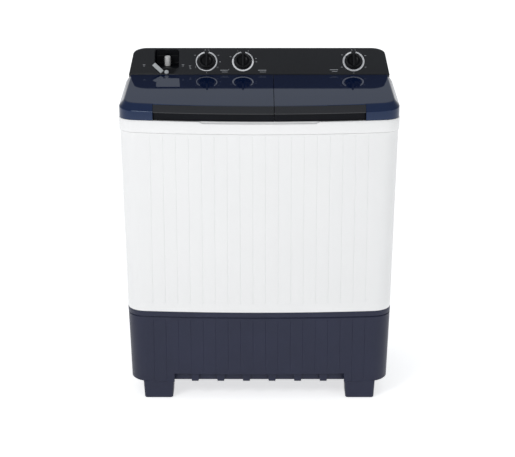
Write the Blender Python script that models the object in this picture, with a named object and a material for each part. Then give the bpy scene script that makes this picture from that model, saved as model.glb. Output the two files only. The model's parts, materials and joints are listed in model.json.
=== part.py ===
"""Twin tub washing machine: wash well on the left, spin well on the right, control console behind.

Metres, +Z up. The machine stands on z = 0, its front faces -Y, and the origin is the middle of its footprint.
"""

import math

import bmesh
import bpy
from mathutils import Matrix, Vector

# Overall sizes
WIDTH = 0.790
DEPTH = 0.460
FOOT_HEIGHT = 0.055
BASE_HEIGHT = 0.204
BASE_LIP = 0.013
CABINET_HEIGHT = 0.530
RIM_HEIGHT = 0.0345

# Walls and clearances
GAP = 0.0003
WALL = 0.0025
RUNNING = 0.0005
DECK_THICKNESS = 0.003
RIM_WALL = 0.010

# Shape of the body in plan and in height
RIM_STEP = 0.0047
CABINET_DRAFT = 0.022
BASE_STEP = 0.0006
BASE_DRAFT = 0.031
CORNER_RADIUS = 0.055
REAR_RADIUS = 0.022
REAR_INSET = 0.004
REAR_NARROWING = 0.008
TOP_BOW = 0.028
BOTTOM_BOW = 0.010

# Grooves on the front
GROOVE_COUNT = 18
GROOVE_MARGIN = 0.0898
GROOVE_WIDTH = 0.0036
GROOVE_DEPTH = 0.0009
GROOVE_RUNOUT = 0.004
GROOVE_TOP_MARGIN = 0.006
GROOVE_BOTTOM_MARGIN = 0.027
BASE_GROOVE_MARGIN = 0.010

# Base
FLOOR_THICKNESS = 0.004
NOTCH_HEIGHT = 0.025
NOTCH_DEPTH = 0.018
NOTCH_RIBS = 6
NOTCH_RIB_WIDTH = 0.026
NOTCH_RIB_DEPTH = 0.010
UNDER_WALL = 0.004
FOOT_WIDTH = 0.088
FOOT_DEPTH = 0.070
FOOT_TAPER = 0.003
FOOT_OUTSET = 0.101
FOOT_FRONT = 0.034
FOOT_REAR = 0.040
PAD_WIDTH = 0.062
PAD_DEPTH = 0.046
PAD_HEIGHT = 0.008
PAD_STANDOFF = 0.002

# Lids
SPIN_SIDE = 0.354
CONSOLE_DEPTH = 0.162
LID_GAP = 0.0016
LID_INSET = 0.001
LID_LIP = 0.0242
LID_BEVEL = 0.015
LID_BEVEL_RISE = 0.0178
LID_SLOPE = math.radians(6.25)
FASCIA_CLEARANCE = 0.002
GRIP_MARGIN = 0.098
GRIP_UNDERCUT = 0.006
GRIP_EDGE = 0.0018
SCOOP_HALF = 0.158
SCOOP_RISE = 0.005
SCOOP_SLOPE = 0.010
HINGE_BACK = 0.018
HINGE_DROP = 0.0125
HINGE_ROD_RADIUS = 0.0025
KNUCKLE_RADIUS = 0.0070
KNUCKLE_WIDTH = 0.006
TAIL_RADIUS = 0.0225
SKIRT_BACK = 0.020
CHEEK_INSET = 0.0065
CHEEK_WIDTH = 0.0095

# Console
FASCIA_LENGTH = 0.084
FASCIA_LEAN = math.radians(36.0)
FASCIA_THICKNESS = 0.003
CONSOLE_SIDE_INSET = 0.0130
CONSOLE_SIDE_LEAN = 0.21
CONSOLE_CORNER_X = 0.043
CONSOLE_CORNER_Z = 0.017
CONSOLE_REAR_HEIGHT = 0.068
CONSOLE_RIDGE = 0.009
PLINTH_SETBACK = 0.0065
DIAL_MARGIN = 0.0092
DIAL_LINE = 0.0046
DIAL_RAISE = 0.0016
KNOB_RADIUS = 0.0225
KNOB_HEIGHT = 0.0090
KNOB_GRIP = 0.0090
KNOB_GRIP_RISE = 0.0062
SHAFT_RADIUS = 0.003
TIMER_RADIUS = 0.027
TIMER_DEPTH = 0.038
RECESS_WIDTH = 0.072
RECESS_SHELF = 0.024
RECESS_BAR = 0.004
RECESS_DEPTH = 0.096
RECESS_FOOT = 0.021
RECESS_WALL = 0.002
NOZZLE_RADIUS = 0.0089
NOZZLE_BORE = 0.0062
NOZZLE_RISE = 0.022
NOZZLE_SETBACK = 0.0025
LEVER_PIVOT_HEIGHT = 0.0068
LEVER_LENGTH = 0.038
LEVER_WIDTH = 0.012
LEVER_THICKNESS = 0.0034

# Wells and what turns in them
WELL_SIDE_MARGIN = 0.033
WELL_FRONT_MARGIN = 0.035
WELL_REAR_MARGIN = 0.107
WASH_CORNER = 0.080
WELL_PARTITION = 0.020
DRIVE_SPACE = 0.311
SPIN_DRIVE_SPACE = 0.336
MOUTH_FRONT_MARGIN = 0.056
MOUTH_REAR_MARGIN = 0.012
SPIN_WELL_SPREAD = 0.026
BASKET_CLEARANCE = 0.022
BASKET_WALL = 0.0015
BASKET_TOP_DROP = 0.034
BASKET_FLOOR_RISE = 0.040
PULSATOR_CLEARANCE = 0.014
PULSATOR_VANES = 6
FILTER_SHARE = 0.58
FILTER_HEIGHT = 0.200
FILTER_DEPTH = 0.022

# Drives under the wells
SHAFT_WASH = 0.008
SHAFT_SPIN = 0.007
PULLEY_RADIUS = 0.085
MOTOR_PULLEY_RADIUS = 0.024
PULLEY_HEIGHT = 0.018
PULLEY_DROP = 0.112
BELT_WIDTH = 0.006
BELT_HEIGHT = 0.009
WASH_MOTOR_RADIUS = 0.056
WASH_MOTOR_HEIGHT = 0.140
SPIN_MOTOR_RADIUS = 0.062
SPIN_MOTOR_HEIGHT = 0.125
MOTOR_PLATE = 0.004
DAMPER_HEIGHT = 0.031
DAMPER_RADIUS = 0.014
BRAKE_RADIUS = 0.045
BRAKE_HEIGHT = 0.026
BRAKE_RELEASE = 0.0055
BRAKE_ARM_REACH = 0.055
DRAIN_CUP_RADIUS = 0.026
DRAIN_CUP_HEIGHT = 0.072
DRAIN_BACK = 0.065
HOSE_RADIUS = 0.0110
SPIGOT_RADIUS = 0.0075
SPIGOT_LENGTH = 0.018
OUTLET_RADIUS = 0.015
OUTLET_DEPTH = 0.016
GLAND_RADIUS = 0.009
GLAND_BORE = 0.0042
OUTLET_HEIGHT = 0.130
OUTLET_SIDE = 0.095
COVER_SIDE = 0.180
COVER_MARGIN = 0.012
COVER_THICKNESS = 0.002

# Levels and lines that follow from the sizes above
SKIRT_Z = FOOT_HEIGHT
LIP_Z = SKIRT_Z + BASE_HEIGHT
CABINET_Z = LIP_Z + BASE_LIP
RIM_Z = CABINET_Z + CABINET_HEIGHT
DECK_Z = RIM_Z + RIM_HEIGHT
FLOOR_Z = SKIRT_Z + NOTCH_HEIGHT
FLOOR_TOP = FLOOR_Z + FLOOR_THICKNESS
FRONT_Y = -DEPTH / 2
REAR_Y = DEPTH / 2
BODY_REAR = REAR_Y - REAR_INSET
SPLIT_X = WIDTH / 2 - SPIN_SIDE
GROOVE_PITCH = (WIDTH - 2 * GROOVE_MARGIN) / (GROOVE_COUNT - 1)
GRIP_HALF = WIDTH / 2 - GRIP_MARGIN
NOTCH_HALF = WIDTH / 2 - FOOT_OUTSET - FOOT_WIDTH / 2 - 0.003
COVER_HALF = WIDTH / 2 - COVER_SIDE
LID_REAR = REAR_Y - CONSOLE_DEPTH
LID_FRONT_Z = DECK_Z + LID_LIP + LID_BEVEL_RISE
FASCIA_Y = LID_REAR + FASCIA_CLEARANCE
HINGE_Y = LID_REAR - HINGE_BACK
WASH_SIDE = WIDTH - SPIN_SIDE
WASH_LEFT = -WIDTH / 2 + WELL_SIDE_MARGIN
WASH_RIGHT = SPLIT_X - WELL_PARTITION
WELL_FRONT = FRONT_Y + WELL_FRONT_MARGIN
WELL_REAR = REAR_Y - WELL_REAR_MARGIN
WASH_FLOOR = FLOOR_TOP + DRIVE_SPACE
SPIN_FLOOR = FLOOR_TOP + SPIN_DRIVE_SPACE
OPENING_REAR = HINGE_Y - MOUTH_REAR_MARGIN
MOUTH_RADIUS = (OPENING_REAR - FRONT_Y - MOUTH_FRONT_MARGIN) / 2
SPIN_WELL_RADIUS = MOUTH_RADIUS + SPIN_WELL_SPREAD
BASKET_RADIUS = SPIN_WELL_RADIUS - BASKET_CLEARANCE
BASKET_FLOOR = SPIN_FLOOR + BASKET_FLOOR_RISE
SPIN_X = SPLIT_X + SPIN_SIDE / 2 - 0.012
SPIN_Y = FRONT_Y + MOUTH_FRONT_MARGIN + MOUTH_RADIUS
WASH_X = (WASH_LEFT + WASH_RIGHT) / 2
WASH_Y = (WELL_FRONT + WELL_REAR) / 2
PULSATOR_RADIUS = min(WASH_RIGHT - WASH_LEFT, WELL_REAR - WELL_FRONT) / 2 - PULSATOR_CLEARANCE
PULLEY_Z = WASH_FLOOR - WALL - PULLEY_DROP
WASH_MOTOR_X = -WIDTH / 2 + OUTLET_SIDE
WASH_MOTOR_Y = REAR_Y - 0.126
MOTOR_PLATE_Z = FLOOR_TOP + DAMPER_HEIGHT
DRAIN_Y = REAR_Y - DRAIN_BACK
DRAIN_Z = WASH_FLOOR - 0.095
INLET_X = -WIDTH / 2 + 0.2833 * WASH_SIDE
WASH_TIMER_X = -WIDTH / 2 + 0.5516 * WASH_SIDE
WASH_SELECTOR_X = -WIDTH / 2 + 0.7959 * WASH_SIDE
SPIN_TIMER_X = SPLIT_X + 0.6667 * SPIN_SIDE
DRAIN_X = WASH_SELECTOR_X
DIAL_HEIGHT = FASCIA_LENGTH / 2
DIAL_RADIUS = KNOB_RADIUS + DIAL_MARGIN


def lid_top(y):
    """Height of the lids' sloping top at depth y."""
    return LID_FRONT_Z + (y - FRONT_Y - LID_BEVEL) * math.tan(LID_SLOPE)


FASCIA_Z = lid_top(LID_REAR) + 0.0006
HINGE_Z = lid_top(HINGE_Y) - HINGE_DROP
FASCIA_UP = Vector((0, math.sin(FASCIA_LEAN), math.cos(FASCIA_LEAN)))
FASCIA_OUT = Vector((0, -math.cos(FASCIA_LEAN), math.sin(FASCIA_LEAN)))
FASCIA_TOP = Vector((0, FASCIA_Y, FASCIA_Z)) + FASCIA_LENGTH * FASCIA_UP


def clear_scene():
    for obj in list(bpy.data.objects):
        bpy.data.objects.remove(obj, do_unlink=True)


def make_finish(name, colour, roughness, metallic=0.0):
    finish = bpy.data.materials.new(name)
    finish.use_nodes = True
    shader = finish.node_tree.nodes["Principled BSDF"]
    shader.inputs["Base Color"].default_value = (*colour, 1.0)
    shader.inputs["Roughness"].default_value = roughness
    shader.inputs["Metallic"].default_value = metallic
    return finish


def make_finishes():
    return {
        "white": make_finish("white_plastic", (0.86, 0.86, 0.87), 0.35),
        "navy": make_finish("navy_plastic", (0.045, 0.050, 0.080), 0.42),
        "lid": make_finish("lid_plastic", (0.020, 0.030, 0.075), 0.06),
        "gloss": make_finish("black_gloss_plastic", (0.018, 0.021, 0.028), 0.12),
        "black": make_finish("black_plastic", (0.015, 0.016, 0.020), 0.45),
        "rubber": make_finish("rubber", (0.018, 0.018, 0.018), 0.85),
        "steel": make_finish("steel", (0.55, 0.55, 0.56), 0.32, 1.0),
        "silver": make_finish("silver_ring", (0.78, 0.79, 0.80), 0.22, 1.0),
        "grey": make_finish("grey_plastic", (0.46, 0.48, 0.49), 0.35),
        "cast": make_finish("cast_housing", (0.20, 0.21, 0.22), 0.55, 0.6),
        "blue": make_finish("pulsator_plastic", (0.10, 0.20, 0.42), 0.30),
    }


# Solids, each returned as a bmesh


def loft(loops):
    """A closed solid through loops that hold the same number of points, capped at both ends."""
    bm = bmesh.new()
    rings = [[bm.verts.new(point) for point in loop] for loop in loops]
    for lower, upper in zip(rings, rings[1:]):
        for i in range(len(lower)):
            j = (i + 1) % len(lower)
            bm.faces.new((lower[i], lower[j], upper[j], upper[i]))
    bm.faces.new(reversed(rings[0]))
    bm.faces.new(rings[-1])
    bmesh.ops.recalc_face_normals(bm, faces=bm.faces)
    return bm


def ring_loft(loops):
    """A closed solid through loops whose last one joins the first again, as a shell open at both ends."""
    bm = bmesh.new()
    rings = [[bm.verts.new(point) for point in loop] for loop in loops]
    for lower, upper in zip(rings, rings[1:] + rings[:1]):
        for i in range(len(lower)):
            j = (i + 1) % len(lower)
            bm.faces.new((lower[i], lower[j], upper[j], upper[i]))
    bmesh.ops.recalc_face_normals(bm, faces=bm.faces)
    return bm


def prism(outline, axis, low, high):
    """A flat outline extruded along one axis. The outline's two numbers are the other two axes in X, Y, Z order."""
    place = {
        "X": lambda a, b, depth: (depth, a, b),
        "Y": lambda a, b, depth: (a, depth, b),
        "Z": lambda a, b, depth: (a, b, depth),
    }[axis]
    return loft([[place(a, b, depth) for a, b in outline] for depth in (low, high)])


def box(low, high):
    outline = [(low[0], low[1]), (high[0], low[1]), (high[0], high[1]), (low[0], high[1])]
    return prism(outline, "Z", low[2], high[2])


def turned(profile, steps=28, closed=False):
    """A profile of (radius, height) points turned about Z. An open profile starts and ends on the axis."""
    bm = bmesh.new()
    verts = [bm.verts.new((radius, 0.0, height)) for radius, height in profile]
    following = verts[1:] + verts[:1] if closed else verts[1:]
    edges = [bm.edges.new(pair) for pair in zip(verts, following)]
    bmesh.ops.spin(
        bm, geom=verts + edges, axis=(0, 0, 1), cent=(0, 0, 0), angle=math.tau, steps=steps, use_merge=True
    )
    bmesh.ops.remove_doubles(bm, verts=bm.verts, dist=1e-6)
    bmesh.ops.recalc_face_normals(bm, faces=bm.faces)
    return bm


def cylinder(radius, low, high, steps=20):
    return prism(arc((0, 0), (radius, radius), 0, 360 - 360 / steps, steps - 1), "Z", low, high)


def tube(outer, inner, low, high, steps=20):
    return turned([(inner, low), (outer, low), (outer, high), (inner, high)], steps, closed=True)


def moved(bm, matrix):
    bmesh.ops.transform(bm, matrix=matrix, verts=bm.verts)
    return bm


def at(x=0.0, y=0.0, z=0.0):
    return Matrix.Translation((x, y, z))


ALONG_X = Matrix.Rotation(math.pi / 2, 4, "Y")
ALONG_Y = Matrix.Rotation(-math.pi / 2, 4, "X")


def on_fascia(x=0.0, height=0.0, out=0.0):
    """The frame of a point on the fascia: local X to the right, Y up the fascia, Z out of it."""
    axes = Matrix((Vector((1, 0, 0)), FASCIA_UP, FASCIA_OUT)).transposed().to_4x4()
    return at(0, FASCIA_Y, FASCIA_Z) @ axes @ at(x, height, out)


def inset_polygon(points, distance):
    """A convex counter-clockwise outline with each side moved inwards."""
    inner = []
    for before, here, after in zip(points[-1:] + points[:-1], points, points[1:] + points[:1]):
        a = (Vector(here) - Vector(before)).normalized()
        b = (Vector(after) - Vector(here)).normalized()
        normal_a, normal_b = Vector((-a.y, a.x)), Vector((-b.y, b.x))
        corner = (normal_a + normal_b) / (1 + normal_a.dot(normal_b))
        inner.append(tuple(Vector(here) + distance * corner))
    return inner


def arc(centre, radii, start, end, steps):
    """Points on an elliptical arc, with its angles in degrees."""
    angles = [math.radians(start + (end - start) * i / steps) for i in range(steps + 1)]
    return [(centre[0] + radii[0] * math.cos(a), centre[1] + radii[1] * math.sin(a)) for a in angles]


def rounded_rectangle(low, high, radius, steps=6):
    """A counter-clockwise rectangle with round corners."""
    corners = ((high[0], low[1], -90), (high[0], high[1], 0), (low[0], high[1], 90), (low[0], low[1], 180))
    points = []
    for x, y, start in corners:
        centre = (x - math.copysign(radius, x - low[0] - 1e-9), y - math.copysign(radius, y - low[1] - 1e-9))
        points += arc(centre, (radius, radius), start, start + 90, steps)
    return points


# The body's outline


def cabinet_half(z):
    return WIDTH / 2 - RIM_STEP - CABINET_DRAFT * (RIM_Z - z)


def base_half(z):
    return cabinet_half(LIP_Z) - BASE_STEP - BASE_DRAFT * (LIP_Z - z)


def bow_at(z):
    """How far the front's middle stands in front of its corners."""
    share = (z - SKIRT_Z) / (DECK_Z - SKIRT_Z)
    return BOTTOM_BOW + (TOP_BOW - BOTTOM_BOW) * share


def plain_front(half, count=12):
    reach = half - CORNER_RADIUS
    return [(reach * (2 * i / count - 1), 0.0) for i in range(1, count)]


def grooved_front(depth):
    """Four points across each groove, as (x, depth) pairs."""
    points = []
    for i in range(GROOVE_COUNT):
        x = (i - (GROOVE_COUNT - 1) / 2) * GROOVE_PITCH
        points += [(x - GROOVE_WIDTH / 2, 0.0), (x - GROOVE_WIDTH / 5, depth)]
        points += [(x + GROOVE_WIDTH / 5, depth), (x + GROOVE_WIDTH / 2, 0.0)]
    return points


def body_outline(half, z, inset=0.0, front=None, rear=BODY_REAR, rear_radius=REAR_RADIUS):
    """The body in plan at height z: a bowed front, round corners and sides that narrow to the rear."""
    points = front if front is not None else plain_front(half)
    bow = bow_at(z)
    radius = CORNER_RADIUS - inset
    side = half - inset
    middle = FRONT_Y + WIDTH / 2 - half + inset
    lean = math.atan(2 * bow / (half - CORNER_RADIUS))
    reach = side - radius * (1 - math.sin(lean))
    centre_y = middle + bow + radius * math.cos(lean)
    rear_y, rear_radius = rear - inset, max(rear_radius - inset, 0.001)
    rear_side = side - REAR_NARROWING * (rear_y - centre_y) / (REAR_Y - centre_y)
    right = arc((side - radius, centre_y), (radius, radius), -90 + math.degrees(lean), 0, 6)
    right += arc((rear_side - rear_radius, rear_y - rear_radius), (rear_radius, rear_radius), 0, 90, 3)
    left = [(-x, y) for x, y in reversed(right)]
    across = [(x, middle + bow * (x / reach) ** 2 + depth) for x, depth in points]
    return [Vector((x, y, z)) for x, y in across + right + left]


def bowed_sweep(section, left, right, steps, bow_z):
    """A (distance back, height) section swept along the bowed front edge of the rim."""
    reach = WIDTH / 2 - CORNER_RADIUS
    stations = [left + (right - left) * i / steps for i in range(steps + 1)]
    return loft(
        [[(x, FRONT_Y + bow_at(bow_z) * (x / reach) ** 2 + d, z) for d, z in section] for x in stations]
    )


# Objects and Booleans


def add_node(name, bm, finish, place=None):
    """One named object with its own finish. The bmesh is in the frame that place gives."""
    mesh = bpy.data.meshes.new(name)
    bm.to_mesh(mesh)
    bm.free()
    mesh.materials.append(FINISHES[finish])
    obj = bpy.data.objects.new(name, mesh)
    bpy.context.collection.objects.link(obj)
    obj.matrix_world = place or Matrix()
    bpy.context.view_layer.update()
    return obj


def combine(obj, bm, operation):
    """Apply a Boolean of the tool in world space to the object's mesh, and remove the tool."""
    tool_mesh = bpy.data.meshes.new("tool")
    bm.to_mesh(tool_mesh)
    bm.free()
    tool = bpy.data.objects.new("tool", tool_mesh)
    bpy.context.collection.objects.link(tool)
    modifier = obj.modifiers.new(operation, "BOOLEAN")
    modifier.operation = operation
    modifier.object = tool
    bpy.context.view_layer.update()
    graph = bpy.context.evaluated_depsgraph_get()
    result = bpy.data.meshes.new_from_object(obj.evaluated_get(graph))
    obj.modifiers.clear()
    before = obj.data
    obj.data = result
    bpy.data.meshes.remove(before)
    result.name = obj.name
    bpy.data.objects.remove(tool)
    bpy.data.meshes.remove(tool_mesh)


def cut(obj, *tools):
    for tool in tools:
        combine(obj, tool, "DIFFERENCE")


def join(obj, *tools):
    for tool in tools:
        combine(obj, tool, "UNION")


def put_origin(obj, point):
    """Moves the object's origin to a point on its joint's axis."""
    obj.data.transform(Matrix.Translation(-Vector(point)))
    obj.matrix_world = Matrix.Translation(point)


def shade(obj):
    obj.data.shade_smooth()
    obj.data.set_sharp_from_angle(angle=math.radians(32))


# Stand


def make_base():
    groove_top = LIP_Z - BASE_GROOVE_MARGIN
    smooth, cut_in = grooved_front(0.0), grooved_front(GROOVE_DEPTH)
    top = CABINET_Z - GAP
    loops = [
        body_outline(base_half(SKIRT_Z), SKIRT_Z, 0, cut_in),
        body_outline(base_half(groove_top), groove_top - GROOVE_RUNOUT, 0, cut_in),
        body_outline(base_half(groove_top), groove_top, 0, smooth),
        body_outline(base_half(LIP_Z), LIP_Z - 0.001, 0, smooth),
        body_outline(cabinet_half(LIP_Z), LIP_Z + 0.001, 0, smooth),
        body_outline(cabinet_half(CABINET_Z), top, 0, smooth),
        body_outline(cabinet_half(CABINET_Z), top, WALL, smooth),
        body_outline(base_half(LIP_Z), LIP_Z - 0.004, WALL, smooth),
        body_outline(base_half(FLOOR_TOP), FLOOR_TOP, WALL, smooth),
    ]
    base = add_node("base", loft(loops), "navy")
    recess = FRONT_Y + WIDTH / 2 - base_half(SKIRT_Z) + NOTCH_DEPTH
    below = SKIRT_Z - 0.01
    cut(base, box((-NOTCH_HALF, FRONT_Y - 0.01, below), (NOTCH_HALF, recess, FLOOR_Z)))
    cut(base, box((-NOTCH_HALF, recess + UNDER_WALL, below), (NOTCH_HALF, BODY_REAR - 0.020, FLOOR_Z)))
    side = base_half(SKIRT_Z) - REAR_NARROWING - 0.012
    for left, right in ((-side, -NOTCH_HALF - UNDER_WALL), (NOTCH_HALF + UNDER_WALL, side)):
        cut(base, box((left, FRONT_Y + 0.125, below), (right, REAR_Y - 0.130, FLOOR_Z)))
    for i in range(NOTCH_RIBS):
        x = (i - (NOTCH_RIBS - 1) / 2) * 2 * NOTCH_HALF / (NOTCH_RIBS + 0.6)
        wide, narrow = NOTCH_RIB_WIDTH / 2, NOTCH_RIB_WIDTH / 2 - 0.003
        bottom, top = SKIRT_Z - 0.0015, FLOOR_Z + 0.001
        outline = [(x - narrow, bottom), (x + narrow, bottom), (x + wide, top), (x - wide, top)]
        join(base, prism(outline, "Y", recess - NOTCH_RIB_DEPTH, recess + 0.001))
    for i in range(5):
        x = (i - 2) * 0.032 - 0.035
        cut(base, box((x - 0.006, -0.090, FLOOR_Z - 0.01), (x + 0.006, 0.090, FLOOR_TOP + 0.01)))
    for x, radius in ((-1, OUTLET_RADIUS), (1, GLAND_RADIUS)):
        hole = cylinder(radius + GAP, -0.02, 0.02, 20)
        cut(base, moved(hole, at(x * (WIDTH / 2 - OUTLET_SIDE), BODY_REAR, OUTLET_HEIGHT) @ ALONG_Y))
    return base


def make_foot(name, x, y):
    """One foot with a pocket for its rubber pad underneath."""
    bottom, top = PAD_STANDOFF, SKIRT_Z - GAP
    half_x, half_y = FOOT_WIDTH / 2, FOOT_DEPTH / 2
    loops = []
    for z, inset in ((bottom, 0.007), (bottom + 0.007, FOOT_TAPER), (top, 0.0)):
        outline = rounded_rectangle((inset - half_x, inset - half_y), (half_x - inset, half_y - inset), 0.008, 3)
        loops.append([(a, b, z) for a, b in outline])
    foot = add_node(name, moved(loft(loops), at(x, y)), "navy")
    pocket = (PAD_WIDTH / 2 + GAP, PAD_DEPTH / 2 + GAP)
    cut(foot, box((x - pocket[0], y - pocket[1], -0.01), (x + pocket[0], y + pocket[1], PAD_HEIGHT + GAP)))
    outline = rounded_rectangle((-PAD_WIDTH / 2, -PAD_DEPTH / 2), (PAD_WIDTH / 2, PAD_DEPTH / 2), 0.006, 3)
    add_node(name.replace("foot_", "foot_pad_"), moved(prism(outline, "Z", 0, PAD_HEIGHT), at(x, y)), "rubber")


def make_stand():
    make_base()
    x = WIDTH / 2 - FOOT_OUTSET
    front = FRONT_Y + FOOT_FRONT + FOOT_DEPTH / 2
    rear = REAR_Y - FOOT_REAR - FOOT_DEPTH / 2
    for name, sign, y in (
        ("foot_front_left", -1, front),
        ("foot_front_right", 1, front),
        ("foot_rear_left", -1, rear),
        ("foot_rear_right", 1, rear),
    ):
        make_foot(name, sign * x, y)


# Body


def make_cabinet():
    low, high = CABINET_Z + GROOVE_BOTTOM_MARGIN, RIM_Z - GROOVE_TOP_MARGIN
    smooth, cut_in = grooved_front(0.0), grooved_front(GROOVE_DEPTH)
    levels = (
        (CABINET_Z, smooth),
        (low, smooth),
        (low + GROOVE_RUNOUT, cut_in),
        (high - GROOVE_RUNOUT, cut_in),
        (high, smooth),
        (RIM_Z - GAP, smooth),
    )
    loops = [body_outline(cabinet_half(z), z, 0, front) for z, front in levels]
    loops += [body_outline(cabinet_half(z), z, WALL, smooth) for z in (RIM_Z - GAP, CABINET_Z)]
    cabinet = add_node("cabinet", ring_loft(loops), "white")
    opening = COVER_HALF - COVER_MARGIN
    low, high = cover_levels()
    cut(
        cabinet,
        box((-opening, BODY_REAR - 0.01, low + COVER_MARGIN), (opening, REAR_Y + 0.01, high - COVER_MARGIN)),
    )
    return cabinet


def cover_levels():
    return CABINET_Z + 0.030, RIM_Z - 0.110


def make_rear_cover():
    low, high = cover_levels()
    outline = rounded_rectangle((-COVER_HALF, low), (COVER_HALF, high), 0.012, 4)
    cover = add_node(
        "rear_cover", prism(outline, "Y", BODY_REAR + GAP, BODY_REAR + GAP + COVER_THICKNESS), "black"
    )
    for row in range(5):
        z = low + 0.060 + row * 0.020
        for side in (-1, 1):
            x = side * COVER_HALF / 2
            cut(cover, box((x - 0.060, BODY_REAR - 0.01, z - 0.003), (x + 0.060, REAR_Y + 0.01, z + 0.003)))


def tail_space(radius, front, rear, bottom):
    """Side view of the space under a lid's tail, whose top is an arc about the hinge."""
    start = 360 - math.degrees(math.acos((HINGE_Y - front) / radius)) - 180
    under = arc((HINGE_Y, HINGE_Z), (radius, radius), 360, 360 - start, 10)
    if rear < HINGE_Y + radius:
        under = [(y, z) for y, z in under if y < rear - 0.0005]
        under.insert(0, (rear, HINGE_Z - math.sqrt(radius**2 - (rear - HINGE_Y) ** 2)))
    else:
        under.insert(0, (rear, HINGE_Z))
    return [(front, bottom), (rear, bottom), *under]


def make_hinge_ears(tub):
    """Posts on the deck that carry the lids' rods, and a cheek that closes the space beside each."""
    cheek = tail_space(TAIL_RADIUS + 0.0010, HINGE_Y - SKIRT_BACK + 0.0012, HINGE_Y + 0.0225, DECK_Z - 0.001)
    for side in (-1, 1):
        ends = sorted((side * (WIDTH / 2 - CHEEK_INSET), side * (WIDTH / 2 - CHEEK_INSET - CHEEK_WIDTH)))
        join(tub, prism(cheek, "X", *ends))
    for x in ear_places():
        top = arc((HINGE_Y, HINGE_Z), (KNUCKLE_RADIUS, KNUCKLE_RADIUS), 0, 180, 8)
        foot = [(HINGE_Y - 0.008, DECK_Z - 0.001), (HINGE_Y + 0.008, DECK_Z - 0.001)]
        join(tub, prism(top + foot, "X", x - KNUCKLE_WIDTH / 2, x + KNUCKLE_WIDTH / 2))
    for left, right in rod_spans().values():
        rod = cylinder(HINGE_ROD_RADIUS + GAP, left - 0.005, right + 0.005, 16)
        cut(tub, moved(rod, at(0, HINGE_Y, HINGE_Z) @ ALONG_X))


def rod_spans():
    """Left and right ends of each lid's rod."""
    wash_left, spin_right = -WIDTH / 2 + 0.037, WIDTH / 2 - 0.037
    return {"wash": (wash_left, SPLIT_X - 0.023), "spin": (SPLIT_X + 0.023, spin_right)}


def ear_places():
    return [x for left, right in rod_spans().values() for x in (left + KNUCKLE_WIDTH, right - KNUCKLE_WIDTH)]


def make_twin_tub():
    rim = WIDTH / 2
    under = DECK_Z - DECK_THICKNESS
    loops = [
        body_outline(rim, under, RIM_WALL, rear=REAR_Y),
        body_outline(rim, RIM_Z, RIM_WALL, rear=REAR_Y),
        body_outline(rim, RIM_Z, 0, rear=REAR_Y),
        body_outline(rim, DECK_Z, 0, rear=REAR_Y),
    ]
    tub = add_node("twin_tub", loft(loops), "white")
    wash_low, wash_high = (WASH_LEFT, WELL_FRONT), (WASH_RIGHT, WELL_REAR)
    wall_low = (WASH_LEFT - WALL, WELL_FRONT - WALL)
    wall_high = (WASH_RIGHT + WALL, WELL_REAR + WALL)
    outer = rounded_rectangle(wall_low, wall_high, WASH_CORNER + WALL)
    inner = rounded_rectangle(wash_low, wash_high, WASH_CORNER)
    mouth = rounded_rectangle(wash_low, (WASH_RIGHT, OPENING_REAR), WASH_CORNER)
    spin = at(SPIN_X, SPIN_Y)
    join(tub, prism(outer, "Z", WASH_FLOOR - WALL, under + 0.001))
    join(tub, moved(cylinder(SPIN_WELL_RADIUS + WALL, SPIN_FLOOR - WALL, under + 0.001, 36), spin))
    cut(tub, prism(inner, "Z", WASH_FLOOR, under))
    cut(tub, prism(mouth, "Z", under - 0.01, DECK_Z + 0.01))
    cut(tub, moved(cylinder(SPIN_WELL_RADIUS, SPIN_FLOOR, under, 36), spin))
    cut(tub, moved(cylinder(MOUTH_RADIUS, under - 0.01, DECK_Z + 0.01, 36), spin))
    cut(tub, moved(cylinder(0.020 + GAP, -0.01, 0.01, 24), at(WASH_X, WASH_Y, WASH_FLOOR)))
    cut(tub, moved(cylinder(0.030 + GAP, -0.01, 0.01, 24), at(SPIN_X, SPIN_Y, SPIN_FLOOR)))
    cut(tub, moved(cylinder(0.006, -0.01, 0.01, 12), at(DRAIN_X, DRAIN_Y, DECK_Z)))
    drop = DECK_Z - SCOOP_RISE
    wide = SCOOP_HALF + SCOOP_SLOPE * 3
    scoop = [(-SCOOP_HALF, drop), (SCOOP_HALF, drop), (wide, DECK_Z + 0.01), (-wide, DECK_Z + 0.01)]
    cut(tub, prism(scoop, "Y", FRONT_Y - 0.01, FRONT_Y + 0.006))
    make_hinge_ears(tub)
    return tub


def make_lint_filter():
    """A flat box with a window that hangs on the wash well's rear wall."""
    x, rear = WASH_X, WELL_REAR - GAP
    low, high = WASH_FLOOR + 0.105, WASH_FLOOR + 0.105 + FILTER_HEIGHT
    half = FILTER_SHARE * (WASH_RIGHT - WASH_LEFT - 2 * WASH_CORNER) / 2
    frame = rounded_rectangle((x - half, low), (x + half, high), 0.015, 3)
    window = rounded_rectangle((x - half + 0.014, low + 0.020), (x + half - 0.014, high - 0.030), 0.008, 3)
    lint_filter = add_node("lint_filter", prism(frame, "Y", rear - FILTER_DEPTH, rear), "blue")
    cut(lint_filter, prism(window, "Y", rear - FILTER_DEPTH - 0.01, rear - 0.002))
    put_origin(lint_filter, (x, rear, low))


# Lids


def lid_loops(inset, sink, bottom, rear):
    """Bottom edge, lip line and top edge of the lids, which share one outline."""
    rim = WIDTH / 2
    skirt, top_edge = LID_INSET + inset, LID_INSET + LID_BEVEL + inset * 0.6
    low = body_outline(rim, DECK_Z, skirt, rear=rear + skirt, rear_radius=0.001)
    top = body_outline(rim, DECK_Z, top_edge, rear=rear + top_edge, rear_radius=0.001)
    lip = [Vector((p.x, p.y, lid_top(p.y) - LID_BEVEL_RISE - sink * 0.4)) for p in low]
    crown = [Vector((p.x, p.y, lid_top(p.y) - sink)) for p in top]
    return [[Vector((p.x, p.y, bottom)) for p in low], lip, crown]


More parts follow.
